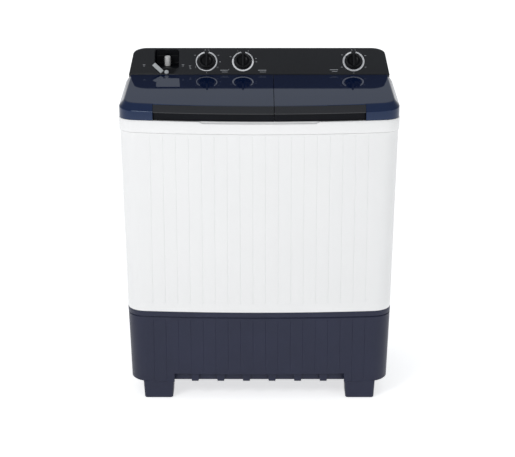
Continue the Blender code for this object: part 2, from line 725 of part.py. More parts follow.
def grip_section():
    """The black strip: a bevel that carries on the lid's, over an undercut for the fingers."""
    low, lip, top = DECK_Z + GAP * 3, DECK_Z + LID_LIP, LID_FRONT_Z - 0.0002
    back = LID_BEVEL + 0.0027
    return [
        (GRIP_UNDERCUT, low),
        (back, low),
        (back, top),
        (LID_BEVEL, top),
        (LID_INSET, lip),
        (LID_INSET, lip - GRIP_EDGE),
        (GRIP_UNDERCUT, lip - GRIP_EDGE - 0.001),
    ]


def make_lid(name, left, right, rod):
    """One lid: an open shell with knuckles on its rod and room for the grip strip."""
    far = 0.5
    lid = add_node(f"{name}_lid", loft(lid_loops(0, 0, DECK_Z + GAP, LID_REAR)), "lid")
    hollow = add_node("hollow", loft(lid_loops(WALL, WALL, DECK_Z - 0.02, LID_REAR + 0.03)), "lid")
    combine(hollow, box((left + WALL, -far, 0), (right - WALL, far, 2)), "INTERSECT")
    combine(lid, box((left, -far, 0), (right, far, 2)), "INTERSECT")
    hollow_bm = bmesh.new()
    hollow_bm.from_mesh(hollow.data)
    bpy.data.objects.remove(hollow)
    cut(lid, hollow_bm)
    back = LID_BEVEL + 0.0030
    room = [(-0.02, DECK_Z - 0.01), (back, DECK_Z - 0.01), (back, LID_FRONT_Z + 0.05), (-0.02, LID_FRONT_Z + 0.05)]
    cut(lid, bowed_sweep(room, -GRIP_HALF, GRIP_HALF, 12, DECK_Z))
    cut(lid, prism(tail_space(TAIL_RADIUS, HINGE_Y - SKIRT_BACK, HINGE_Y + 0.05, DECK_Z - 0.01), "X", -far, far))
    for ear, side in ((rod[0] + KNUCKLE_WIDTH, 1), (rod[1] - KNUCKLE_WIDTH, -1)):
        inner = ear + side * (KNUCKLE_WIDTH / 2 + RUNNING)
        outer = inner + side * KNUCKLE_WIDTH
        drop = arc((HINGE_Y, HINGE_Z), (KNUCKLE_RADIUS, KNUCKLE_RADIUS), 180, 360, 8)
        up = [(y, lid_top(y) - WALL / 2) for y in (HINGE_Y + KNUCKLE_RADIUS, HINGE_Y - KNUCKLE_RADIUS)]
        join(lid, prism(drop + up, "X", min(inner, outer), max(inner, outer)))
    bore = cylinder(HINGE_ROD_RADIUS + RUNNING, rod[0] - 0.001, rod[1] + 0.001, 16)
    cut(lid, moved(bore, at(0, HINGE_Y, HINGE_Z) @ ALONG_X))
    put_origin(lid, ((left + right) / 2, HINGE_Y, HINGE_Z))


def make_lids():
    spans = rod_spans()
    for name, left, right in (
        ("wash", -WIDTH, SPLIT_X - LID_GAP / 2),
        ("spin", SPLIT_X + LID_GAP / 2, WIDTH),
    ):
        rod = spans[name]
        make_lid(name, left, right, rod)
        ends = (max(left, -GRIP_HALF + GAP), min(right, GRIP_HALF - GAP))
        grip = add_node(f"{name}_lid_grip", bowed_sweep(grip_section(), *ends, 8, DECK_Z), "gloss")
        put_origin(grip, ((left + right) / 2, HINGE_Y, HINGE_Z))
        bar = cylinder(HINGE_ROD_RADIUS, rod[0], rod[1], 12)
        add_node(f"{name}_lid_hinge_rod", moved(bar, at(0, HINGE_Y, HINGE_Z) @ ALONG_X), "steel")


# Console


def console_side():
    """Side view of the console: plinth, leaning front, ridge, sloping back. Counter-clockwise (y, z)."""
    foot = DECK_Z + GAP
    back = FASCIA_THICKNESS + GAP
    bottom = Vector((0, FASCIA_Y, FASCIA_Z)) - back * FASCIA_OUT
    top = bottom + FASCIA_LENGTH * FASCIA_UP
    rear = REAR_Y - REAR_INSET
    return [
        (FASCIA_Y + PLINTH_SETBACK, foot),
        (rear, foot),
        (rear, DECK_Z + CONSOLE_REAR_HEIGHT),
        (FASCIA_TOP.y + CONSOLE_RIDGE, FASCIA_TOP.z),
        (top.y, top.z),
        (bottom.y, bottom.z),
        (FASCIA_Y + PLINTH_SETBACK, bottom.z - 0.004),
    ]


def console_front(inset=0.0):
    """Front view of the console, (x, z): leaning sides and round top corners."""
    half = WIDTH / 2 - CONSOLE_SIDE_INSET - inset
    top = FASCIA_TOP.z - inset
    shoulder = top - CONSOLE_CORNER_Z
    upper = half - CONSOLE_SIDE_LEAN * (shoulder - FASCIA_Z)
    centre = (upper - CONSOLE_CORNER_X, shoulder)
    corner = arc(centre, (CONSOLE_CORNER_X, CONSOLE_CORNER_Z), 0, 90, 8)
    right = [(half, DECK_Z - 0.02), (half, FASCIA_Z)] + corner
    return right + [(-x, z) for x, z in reversed(right)]


def recess_edges(clearance=0.0):
    half = RECESS_WIDTH / 2 + clearance
    return INLET_X - half, INLET_X + half


def shelf_z():
    return FASCIA_Z + RECESS_SHELF * math.cos(FASCIA_LEAN)


def make_control_housing():
    side = console_side()
    housing = add_node("control_housing", prism(side, "X", -WIDTH, WIDTH), "gloss")
    combine(housing, prism(console_front(), "Y", -DEPTH, DEPTH), "INTERSECT")
    core = add_node("core", prism(inset_polygon(side, WALL), "X", -WIDTH, WIDTH), "gloss")
    combine(core, prism(console_front(WALL), "Y", -DEPTH, DEPTH), "INTERSECT")
    join(core, lower_core(side))
    core_bm = bmesh.new()
    core_bm.from_mesh(core.data)
    bpy.data.objects.remove(core)
    cut(housing, core_bm)
    left, right = recess_edges()
    top = FASCIA_TOP.z - WALL - 0.0005
    rear = recess_rear()
    cut(housing, box((left, 0, shelf_z() - WALL), (right, rear, top)))
    cut(housing, box((left, FASCIA_TOP.y + CONSOLE_RIDGE, shelf_z()), (right, rear, top + 0.05)))
    for x in (WASH_TIMER_X, WASH_SELECTOR_X, SPIN_TIMER_X):
        cut(housing, moved(cylinder(SHAFT_RADIUS + 0.004, -0.02, 0.02, 16), on_fascia(x, DIAL_HEIGHT)))
    pivot = cylinder(SHAFT_RADIUS + RUNNING, -0.02, 0.02, 16)
    cut(housing, moved(pivot, on_fascia(INLET_X, LEVER_PIVOT_HEIGHT)))
    return housing


def lower_core(side):
    """Opens the console's underside."""
    front, rear = side[0][0] + WALL, side[1][0] - WALL
    half = WIDTH / 2 - CONSOLE_SIDE_INSET - WALL
    return box((-half, front, DECK_Z - 0.01), (half, rear, DECK_Z + WALL * 2))


def recess_rear():
    return FASCIA_Y + RECESS_DEPTH


def make_fascia():
    slab = prism([(-WIDTH, 0), (WIDTH, 0), (WIDTH, FASCIA_LENGTH), (-WIDTH, FASCIA_LENGTH)], "Z", -FASCIA_THICKNESS, 0)
    fascia = add_node("control_fascia", moved(slab, on_fascia()), "gloss")
    combine(fascia, prism(console_front(), "Y", -DEPTH, DEPTH), "INTERSECT")
    left, right = recess_edges()
    foot = RECESS_FOOT / 2
    window = [
        (INLET_X - foot, LEVER_PIVOT_HEIGHT - 0.0033),
        (INLET_X + foot, LEVER_PIVOT_HEIGHT - 0.0033),
        (right, RECESS_SHELF),
        (right, FASCIA_LENGTH - RECESS_BAR),
        (left, FASCIA_LENGTH - RECESS_BAR),
        (left, RECESS_SHELF),
    ]
    cut(fascia, moved(prism(window, "Z", -0.01, 0.01), on_fascia()))
    for x in (WASH_TIMER_X, WASH_SELECTOR_X, SPIN_TIMER_X):
        cut(fascia, moved(cylinder(SHAFT_RADIUS + 0.002, -0.01, 0.01, 16), on_fascia(x, DIAL_HEIGHT)))
    return fascia


def make_knob(name, x):
    """Dial ring on the fascia, knob, its shaft, and the timer or switch body behind."""
    place = on_fascia(x, DIAL_HEIGHT)
    ring = tube(DIAL_RADIUS, DIAL_RADIUS - DIAL_LINE, GAP, DIAL_RAISE, 28)
    add_node(f"dial_ring_{name}", ring, "silver", place)
    low, high = DIAL_RAISE, DIAL_RAISE + KNOB_HEIGHT
    profile = [(0, low), (KNOB_RADIUS, low), (KNOB_RADIUS - 0.001, high), (KNOB_RADIUS - 0.004, high), (0, low + 0.004)]
    knob = add_node(f"{name}_knob", turned(profile, 24), "black", place)
    half, reach = KNOB_GRIP / 2, KNOB_RADIUS - 0.0005
    grip = rounded_rectangle((-half, -reach), (half, reach), half - 0.0002, 3)
    join(knob, moved(prism(grip, "Z", low + 0.001, high + KNOB_GRIP_RISE), place))
    socket = cylinder(SHAFT_RADIUS + GAP, low - 0.01, high, 12)
    cut(knob, moved(socket, place))
    behind = -(FASCIA_THICKNESS + GAP + WALL + GAP)
    shaft = cylinder(SHAFT_RADIUS, behind - 0.004, high - GAP, 12)
    add_node(f"{name}_shaft", shaft, "steel", place)
    body = [
        (SHAFT_RADIUS + RUNNING, behind - 0.008),
        (SHAFT_RADIUS + RUNNING, behind - GAP),
        (TIMER_RADIUS, behind - GAP),
        (TIMER_RADIUS, behind - TIMER_DEPTH),
        (0, behind - TIMER_DEPTH),
        (0, behind - 0.008),
    ]
    timer = turned(list(reversed([(0, behind - 0.008)] + body[:-1])), 20)
    add_node(f"{name}_body", timer, "black", place)


def make_inlet():
    """Recess liner, the nozzle that fills the machine, and the lever that chooses the well."""
    left, right = recess_edges(-GAP)
    rear, ridge = recess_rear() - GAP, FASCIA_TOP.y + CONSOLE_RIDGE
    floor, roof = shelf_z() - WALL + GAP, FASCIA_TOP.z - WALL - 0.001
    slope = (FASCIA_TOP.z - DECK_Z - CONSOLE_REAR_HEIGHT) / (REAR_Y - REAR_INSET - ridge)
    behind = FASCIA_Y + (FASCIA_THICKNESS + GAP) / math.cos(FASCIA_LEAN)
    lean = math.tan(FASCIA_LEAN)
    outline = [
        (behind + (floor - FASCIA_Z) * lean, floor),
        (rear, floor),
        (rear, FASCIA_TOP.z - slope * (rear - ridge) - 0.001),
        (ridge + GAP, roof),
        (behind + (roof - FASCIA_Z) * lean, roof),
    ]
    liner = add_node("inlet_recess", prism(outline, "X", left, right), "black")
    inside_low = (left + RECESS_WALL, FASCIA_Y - 0.1, shelf_z())
    cut(liner, box(inside_low, (right - RECESS_WALL, rear - RECESS_WALL, FASCIA_TOP.z + 0.1)))
    nozzle = at(INLET_X, ridge + NOZZLE_SETBACK + NOZZLE_RADIUS)
    cut(liner, moved(cylinder(NOZZLE_RADIUS + GAP, floor - 0.02, floor + 0.02), nozzle))
    pipe = tube(NOZZLE_RADIUS, NOZZLE_BORE, floor - 0.020, shelf_z() + NOZZLE_RISE)
    add_node("inlet_nozzle", moved(pipe, nozzle), "white")
    make_inlet_lever()


def make_inlet_lever():
    """A flat arm on a round boss, whose stem runs through the console's front wall."""
    place = on_fascia(INLET_X, LEVER_PIVOT_HEIGHT)
    low = GAP * 2
    high = low + LEVER_THICKNESS
    back = FASCIA_THICKNESS + GAP + WALL + 0.003
    profile = [(0, -back), (SHAFT_RADIUS, -back), (SHAFT_RADIUS, low), (0.0065, low), (0.0065, high - 0.0015)]
    lever = add_node("inlet_lever", turned([*profile, (0.004, high), (0, high + 0.0003)], 16), "grey", place)
    elbow, half = Vector((-0.0115, -0.0013)), LEVER_WIDTH / 2
    along, across = Vector((-1, 1)).normalized(), Vector((1, 1)).normalized()
    tip = elbow + LEVER_LENGTH * along
    corners = [elbow - half * across, Vector((0, -0.0055)), Vector((0, 0.0055))]
    corners += [elbow + half * across + 0.0037 * along, tip + half * across, tip - half * across]
    arm = prism([tuple(corner) for corner in corners], "Z", low + 0.0002, high - 0.0002)
    join(lever, moved(arm, place))


def make_console():
    make_control_housing()
    make_fascia()
    for name, x in (("wash_timer", WASH_TIMER_X), ("wash_selector", WASH_SELECTOR_X), ("spin_timer", SPIN_TIMER_X)):
        make_knob(name, x)
    make_inlet()


# Wash drive


def make_pulsator():
    place = at(WASH_X, WASH_Y, WASH_FLOOR)
    radius = PULSATOR_RADIUS
    profile = [
        (0, 0.0065),
        (radius - 0.010, 0.0065),
        (radius, 0.012),
        (radius, 0.016),
        (radius - 0.006, 0.016),
        (0.045, 0.018),
        (0.030, 0.040),
        (0, 0.046),
    ]
    pulsator = add_node("pulsator", turned(profile, 30), "blue", place)
    for i in range(PULSATOR_VANES):
        turn = Matrix.Rotation(math.tau * i / PULSATOR_VANES, 4, "Z")
        loops = []
        for x, half, rise in ((0.020, 0.010, 0.040), (0.070, 0.009, 0.034), (radius - 0.012, 0.005, 0.020)):
            loops.append([(x, -half, 0.010), (x, half, 0.010), (x, half * 0.3, rise), (x, -half * 0.3, rise)])
        join(pulsator, moved(loft(loops), place @ turn))
    cut(pulsator, moved(cylinder(SHAFT_WASH + GAP, -0.01, 0.026, 16), place))


def make_wash_drive():
    make_pulsator()
    place = at(WASH_X, WASH_Y)
    under = WASH_FLOOR - WALL - GAP
    bore = SHAFT_WASH + RUNNING
    gearbox = [
        (bore, PULLEY_Z + PULLEY_HEIGHT / 2 + 0.004),
        (0.030, PULLEY_Z + PULLEY_HEIGHT / 2 + 0.004),
        (0.046, under - 0.070),
        (0.046, under - 0.010),
        (0.065, under - 0.008),
        (0.065, under),
        (0.020, under),
        (0.020, WASH_FLOOR + 0.005),
        (bore, WASH_FLOOR + 0.005),
    ]
    add_node("wash_gearbox", turned(gearbox, 24, closed=True), "cast", place)
    shaft = cylinder(SHAFT_WASH, PULLEY_Z - PULLEY_HEIGHT / 2 - 0.004, WASH_FLOOR + 0.0255, 16)
    add_node("pulsator_shaft", shaft, "steel", place)
    add_node("drive_pulley", pulley(PULLEY_RADIUS, SHAFT_WASH + GAP, 28), "cast", place @ at(0, 0, PULLEY_Z))
    motor = at(WASH_MOTOR_X, WASH_MOTOR_Y)
    floor, top = FLOOR_TOP + GAP, FLOOR_TOP + WASH_MOTOR_HEIGHT
    body = [(0, floor), (0.040, floor), (0.042, floor + 0.012), (WASH_MOTOR_RADIUS, floor + 0.016)]
    body += [(WASH_MOTOR_RADIUS, top - 0.012), (0.044, top - 0.002), (0.012, top), (0, top)]
    add_node("wash_motor", turned(body, 24), "cast", motor)
    small = add_node("motor_pulley", pulley(MOTOR_PULLEY_RADIUS, 0.004, 20), "cast", motor @ at(0, 0, PULLEY_Z))
    shaft = cylinder(0.0052, top + GAP, PULLEY_Z + PULLEY_HEIGHT / 2 + 0.004, 16)
    join(small, moved(shaft, motor))
    make_belt()


def pulley(radius, bore, steps):
    """A pulley with a groove that clears the belt, its middle at z = 0."""
    half = PULLEY_HEIGHT / 2
    seat = radius - BELT_WIDTH - GAP
    groove = BELT_HEIGHT / 2 + GAP
    profile = [
        (bore, -half),
        (radius, -half),
        (radius, -groove),
        (seat, -groove),
        (seat, groove),
        (radius, groove),
        (radius, half),
        (bore, half),
    ]
    return turned(profile, steps, closed=True)


def belt_loop(large, small, z):
    """A belt line round both pulleys: two arcs, which its straight runs join."""
    start, end = Vector((WASH_X, WASH_Y)), Vector((WASH_MOTOR_X, WASH_MOTOR_Y))
    heading = math.degrees(math.atan2(end.y - start.y, end.x - start.x))
    spread = math.degrees(math.acos((large - small) / (end - start).length))
    points = arc(start, (large, large), heading + spread, heading + 360 - spread, 22)
    points += arc(end, (small, small), heading - spread, heading + spread, 10)
    return [Vector((x, y, z)) for x, y in points]


def make_belt():
    inner = (PULLEY_RADIUS - BELT_WIDTH + 0.0008, MOTOR_PULLEY_RADIUS - BELT_WIDTH + 0.0008)
    outer = [radius + BELT_WIDTH for radius in inner]
    low, high = PULLEY_Z - BELT_HEIGHT / 2, PULLEY_Z + BELT_HEIGHT / 2
    loops = [belt_loop(*outer, low), belt_loop(*outer, high), belt_loop(*inner, high), belt_loop(*inner, low)]
    add_node("drive_belt", ring_loft(loops), "rubber")


# Spin drive


def make_spin_drive():
    place = at(SPIN_X, SPIN_Y)
    radius, floor, top = BASKET_RADIUS, BASKET_FLOOR, DECK_Z - BASKET_TOP_DROP
    basket = [
        (0, floor),
        (radius - 0.012, floor),
        (radius, floor + 0.012),
        (radius, top),
        (radius - 0.008, top + 0.004),
        (radius - 0.008, top + 0.002),
        (radius - BASKET_WALL, top - 0.002),
        (radius - BASKET_WALL, floor + 0.0135),
        (radius - 0.0135, floor + BASKET_WALL),
        (0.040, floor + BASKET_WALL),
        (0.026, floor + 0.030),
        (0, floor + 0.034),
    ]
    add_node("spin_basket", turned(basket, 32), "steel", place)
    plate, motor_top = MOTOR_PLATE_Z, MOTOR_PLATE_Z + MOTOR_PLATE + SPIN_MOTOR_HEIGHT
    shaft = cylinder(SHAFT_SPIN, motor_top + GAP, floor - GAP, 16)
    add_node("spin_shaft", shaft, "steel", place)
    bore, under = SHAFT_SPIN + RUNNING, SPIN_FLOOR - WALL - GAP
    bearing = [
        (bore, under - 0.030),
        (0.022, under - 0.030),
        (0.026, under - 0.012),
        (0.048, under - 0.008),
        (0.048, under),
        (0.030, under),
        (0.030, SPIN_FLOOR + 0.012),
        (0.014, SPIN_FLOOR + 0.024),
        (bore, SPIN_FLOOR + 0.024),
    ]
    add_node("spin_bearing", turned(bearing, 24, closed=True), "rubber", place)
    low = brake_z()
    drum = tube(BRAKE_RADIUS, SHAFT_SPIN + GAP, low, low + BRAKE_HEIGHT, 28)
    add_node("brake_drum", drum, "cast", place)
    start = plate + MOTOR_PLATE + GAP
    motor = [(0, start), (SPIN_MOTOR_RADIUS - 0.010, start), (SPIN_MOTOR_RADIUS, start + 0.010)]
    motor += [(SPIN_MOTOR_RADIUS, motor_top - 0.016), (SPIN_MOTOR_RADIUS - 0.014, motor_top - 0.004)]
    motor += [(0.018, motor_top), (0, motor_top)]
    add_node("spin_motor", turned(motor, 24), "cast", place)
    plate_radius = SPIN_MOTOR_RADIUS + DAMPER_RADIUS * 2 + 0.004
    add_node("spin_motor_plate", cylinder(plate_radius, plate, plate + MOTOR_PLATE, 28), "steel", place)
    for i in range(3):
        make_damper(i + 1, place @ Matrix.Rotation(math.tau * (i / 3 + 1 / 12), 4, "Z"))
    make_brake_arm()


def brake_z():
    return MOTOR_PLATE_Z + MOTOR_PLATE + SPIN_MOTOR_HEIGHT + 0.040


def make_damper(number, place):
    """A rubber and spring mount between the floor and the motor plate."""
    low, high = FLOOR_TOP + GAP, MOTOR_PLATE_Z - GAP
    profile = [(0, low), (DAMPER_RADIUS, low)]
    turns = 2
    for i in range(turns):
        start = low + (high - low) * (i + 0.35) / turns
        profile += [(DAMPER_RADIUS, start), (DAMPER_RADIUS - 0.004, start + (high - low) * 0.1)]
    profile += [(DAMPER_RADIUS, high), (0, high)]
    damper = moved(turned(profile, 14), at(SPIN_MOTOR_RADIUS + DAMPER_RADIUS, 0))
    add_node(f"spin_damper_{number}", damper, "rubber", place)


def make_brake_arm():
    """An arm beside the drum whose shoe swings in when the spin lid opens."""
    shoe = SPIN_X + BRAKE_RADIUS + BRAKE_RELEASE
    pivot = (shoe + 0.006, SPIN_Y + BRAKE_ARM_REACH, brake_z())
    low, high = 0.004, BRAKE_HEIGHT - 0.004
    arm = prism(rounded_rectangle((-0.004, -BRAKE_ARM_REACH - 0.022), (0.008, 0.008), 0.003, 2), "Z", low, high)
    brake = add_node("brake_arm", arm, "steel", at(*pivot))
    block = box((-0.006, -BRAKE_ARM_REACH - 0.013, low), (-0.002, -BRAKE_ARM_REACH + 0.013, high))
    join(brake, moved(block, at(*pivot)))
    stem = cylinder(0.004, MOTOR_PLATE_Z + MOTOR_PLATE + GAP - pivot[2], low + 0.001, 12)
    join(brake, moved(stem, at(pivot[0] + 0.001, pivot[1], pivot[2])))


# Drain and mains


def make_drain():
    """A cup under the well with a plunger on a long rod, and the hose down to the outlet at the back."""
    place = at(DRAIN_X, DRAIN_Y, DRAIN_Z)
    wall = 0.003
    inner = DRAIN_CUP_RADIUS - wall
    cup = [
        (0, 0),
        (DRAIN_CUP_RADIUS, 0),
        (DRAIN_CUP_RADIUS, DRAIN_CUP_HEIGHT),
        (inner, DRAIN_CUP_HEIGHT),
        (inner, wall),
        (0, wall),
    ]
    body = add_node("drain_valve_body", turned(cup, 24), "black", place)
    axis = place @ at(-DRAIN_CUP_RADIUS, 0, 0.018) @ ALONG_X
    join(body, moved(cylinder(SPIGOT_RADIUS, -SPIGOT_LENGTH, 0.002), axis))
    cut(body, moved(cylinder(SPIGOT_RADIUS - 0.002, -SPIGOT_LENGTH - 0.01, 0.010), axis))
    high = DECK_Z + CONSOLE_REAR_HEIGHT - 0.002 - DRAIN_Z
    seat = wall + GAP
    plunger = [(0, seat), (inner - 0.002, seat), (inner - 0.002, 0.012), (0.003, 0.020), (0.003, high), (0, high)]
    add_node("drain_plunger", turned(plunger, 16), "grey", place)
    end = REAR_Y - 0.0006
    back, seat = end - OUTLET_DEPTH, BODY_REAR + GAP
    outlet = [
        (SPIGOT_RADIUS - 0.002, back - SPIGOT_LENGTH),
        (SPIGOT_RADIUS, back - SPIGOT_LENGTH),
        (SPIGOT_RADIUS, back),
        (OUTLET_RADIUS, back),
        (OUTLET_RADIUS, seat),
        (OUTLET_RADIUS + 0.004, seat),
        (OUTLET_RADIUS + 0.004, end),
        (OUTLET_RADIUS - 0.003, end),
        (OUTLET_RADIUS - 0.003, back + 0.003),
        (SPIGOT_RADIUS - 0.002, back + 0.003),
    ]
    side = WIDTH / 2 - OUTLET_SIDE
    rear_piece = at(0, 0, OUTLET_HEIGHT) @ ALONG_Y
    add_node("drain_outlet", moved(turned(outlet, 20, closed=True), at(-side) @ rear_piece), "black")
    gland = [
        (GLAND_BORE, end - 0.012),
        (GLAND_RADIUS, end - 0.012),
        (GLAND_RADIUS, seat),
        (GLAND_RADIUS + 0.004, seat),
        (GLAND_RADIUS + 0.004, end),
        (GLAND_BORE, end),
    ]
    add_node("cable_gland", moved(turned(gland, 20, closed=True), at(side) @ rear_piece), "rubber")
    make_drain_hose()


def make_drain_hose():
    """The inner hose, whose ends slip over the valve's spigot and the outlet's."""
    start = Vector((DRAIN_X - DRAIN_CUP_RADIUS - 0.0015, DRAIN_Y, DRAIN_Z + 0.018))
    end = Vector((OUTLET_SIDE - WIDTH / 2, REAR_Y - 0.0006 - OUTLET_DEPTH - 0.0015, OUTLET_HEIGHT))
    run_in, run_out = Vector((-SPIGOT_LENGTH, 0, 0)), Vector((0, -SPIGOT_LENGTH, 0))
    lane = end.y - 0.033
    bend = [
        start + 2 * run_in,
        Vector((start.x - 0.110, lane, start.z - 0.020)),
        Vector((end.x + 0.040, lane, start.z - 0.060)),
        Vector((end.x, lane - 0.004, (start.z + end.z) / 2)),
        Vector((end.x, lane - 0.004, end.z + 0.030)),
    ]
    route = smooth_route([start + 1.3 * run_in, *bend, end + 1.3 * run_out], 3)
    points = [start, start + run_in, *route, end + run_out, end]
    rings = []
    side = Vector((0, 0, 1))
    for before, here, after in zip([points[0]] + points[:-1], points, points[1:] + [points[-1]]):
        along = (after - before).normalized()
        side = (side - along * side.dot(along)).normalized()
        rings.append((here, side.copy(), along.cross(side)))
    loops = [hose_ring(ring, HOSE_RADIUS) for ring in rings]
    loops += [hose_ring(ring, SPIGOT_RADIUS + 0.0008) for ring in reversed(rings)]
    add_node("drain_hose", ring_loft(loops), "black")


def hose_ring(ring, radius, steps=10):
    centre, side, up = ring
    return [centre + radius * (side * a + up * b) for a, b in arc((0, 0), (1, 1), 0, 360 - 360 / steps, steps - 1)]


def smooth_route(route, steps):
    """Points on a Catmull-Rom curve through the route's own points."""
    ends = [route[0] * 2 - route[1], *route, route[-1] * 2 - route[-2]]
    points = []
    for a, b, c, d in zip(ends, ends[1:], ends[2:], ends[3:]):
        for i in range(steps):
            t = i / steps
            cubic = (3 * b - 3 * c + d - a) * t**3 + (2 * a - 5 * b + 4 * c - d) * t**2 + (c - a) * t + 2 * b
            points.append(cubic / 2)
    return [*points, route[-1]]


clear_scene()
FINISHES = make_finishes()
make_stand()
make_cabinet()
make_rear_cover()
make_twin_tub()
make_lint_filter()
make_lids()
make_console()
make_wash_drive()
make_spin_drive()
make_drain()
for node in bpy.data.objects:
    if node.type == "MESH":
        shade(node)
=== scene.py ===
# %% [markdown]
# # A twin tub washing machine
# One machine holds a wash well and a spin well side by side under two dark gloss lids, with a leaning
# control panel behind them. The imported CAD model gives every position. This notebook builds the parts that
# are seen on top of that frame, piece by piece, and gives each one its moulded, cast or drawn finish.

import json
import math

import bmesh
import bpy
from mathutils import Matrix, Vector


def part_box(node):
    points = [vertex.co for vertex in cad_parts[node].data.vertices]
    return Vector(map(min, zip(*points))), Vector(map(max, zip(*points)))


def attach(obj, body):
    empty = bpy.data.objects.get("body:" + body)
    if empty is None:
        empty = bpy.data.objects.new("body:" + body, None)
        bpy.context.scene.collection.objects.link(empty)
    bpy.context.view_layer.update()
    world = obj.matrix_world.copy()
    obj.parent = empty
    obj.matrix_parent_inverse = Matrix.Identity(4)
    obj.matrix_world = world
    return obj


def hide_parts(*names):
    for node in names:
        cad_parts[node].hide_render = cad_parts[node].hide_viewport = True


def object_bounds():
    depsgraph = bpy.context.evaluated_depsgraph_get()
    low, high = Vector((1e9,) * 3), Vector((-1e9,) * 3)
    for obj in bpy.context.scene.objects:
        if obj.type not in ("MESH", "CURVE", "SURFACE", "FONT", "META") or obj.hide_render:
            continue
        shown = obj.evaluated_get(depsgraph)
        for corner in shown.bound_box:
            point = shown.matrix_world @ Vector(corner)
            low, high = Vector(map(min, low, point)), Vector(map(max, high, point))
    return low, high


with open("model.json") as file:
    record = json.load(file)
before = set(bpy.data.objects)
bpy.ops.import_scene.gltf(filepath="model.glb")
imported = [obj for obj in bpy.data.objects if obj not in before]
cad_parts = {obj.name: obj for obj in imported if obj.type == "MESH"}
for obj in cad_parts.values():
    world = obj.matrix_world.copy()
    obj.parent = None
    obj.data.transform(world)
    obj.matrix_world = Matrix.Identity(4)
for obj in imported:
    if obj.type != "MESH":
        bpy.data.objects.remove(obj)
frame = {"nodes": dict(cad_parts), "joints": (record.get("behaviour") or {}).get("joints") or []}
cad_low, cad_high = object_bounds()
print("CAD box", [round(v, 4) for v in (*cad_low, *cad_high)])

# %% [markdown]
# ## Camera
# The camera comes first, so that every trial render shows the same framing. It stands four and a half metres away
# with a long lens, a little above the machine, which keeps the upright edges nearly parallel.

# %% Camera
scene = bpy.context.scene
camera_data = bpy.data.cameras.new("camera")
camera_data.lens = 113.24
camera_data.sensor_width = 36.0
camera = bpy.data.objects.new("camera", camera_data)
scene.collection.objects.link(camera)
camera.location = (-0.0051, -4.599, 1.8658)
aim = Vector((-0.0051, -0.2, 0.5209)) - camera.location
camera.rotation_euler = aim.to_track_quat("-Z", "Y").to_euler()
scene.camera = camera
scene.view_settings.view_transform = "Standard"
print("camera distance", round(aim.length, 3))

# %% [markdown]
# ## Studio
# White goods are shown on a white sweep. A pale floor and a world that is brightest near the horizon do the same
# job: the glossy lids pick up a bright edge at grazing angles, and a darker sky higher up. Two broad lamps shape
# the body softly, so no shadow has a hard edge.

# %% World
world = bpy.data.worlds.new("studio")
scene.world = world
world.use_nodes = True
sky = world.node_tree
backdrop = sky.nodes["Background"]
direction = sky.nodes.new("ShaderNodeTexCoord")
split = sky.nodes.new("ShaderNodeSeparateXYZ")
height_ramp = sky.nodes.new("ShaderNodeValToRGB")
sky.links.new(direction.outputs["Generated"], split.inputs[0])
sky.links.new(split.outputs["Z"], height_ramp.inputs[0])
sky.links.new(height_ramp.outputs[0], backdrop.inputs["Color"])
stops = ((0.0, 1.0), (0.16, 1.0), (0.34, 0.60), (0.52, 0.46), (1.0, 0.80))
for i, (position, level) in enumerate(stops):
    stop = height_ramp.color_ramp.elements[i] if i < 2 else height_ramp.color_ramp.elements.new(position)
    stop.position = position
    stop.color = (level * (0.78 + 0.22 * level), level * (0.89 + 0.11 * level), level, 1.0)
backdrop.inputs["Strength"].default_value = 0.72
print("sky stops", len(height_ramp.color_ramp.elements))


# %% Lamps
def add_lamp(name, place, size, power, target=(0.0, 0.0, 0.5)):
    """A square lamp that points at a target."""
    lamp = bpy.data.lights.new(name, "AREA")
    lamp.shape, lamp.size, lamp.energy = "SQUARE", size, power
    lamp_object = bpy.data.objects.new(name, lamp)
    scene.collection.objects.link(lamp_object)
    lamp_object.location = place
    lamp_object.rotation_euler = (Vector(target) - lamp_object.location).to_track_quat("-Z", "Y").to_euler()
    return lamp_object


add_lamp("key", (-2.2, -3.4, 3.2), 1.5, 52)
add_lamp("fill", (3.0, -3.0, 1.8), 2.6, 8)

# %% [markdown]
# ## Finishes
# Nothing on a real machine is one flat colour. Moulded plastic has slow changes of shade, a fine grain from the
# mould and patches that are a little shinier. One helper makes all of these from noise on Object coordinates, so
# the pattern stays on the piece as it moves.


# %% The plastic helper
def node(tree, kind, **inputs):
    made = tree.nodes.new(kind)
    for name, value in inputs.items():
        made.inputs[name.replace("_", " ")].default_value = value
    return made


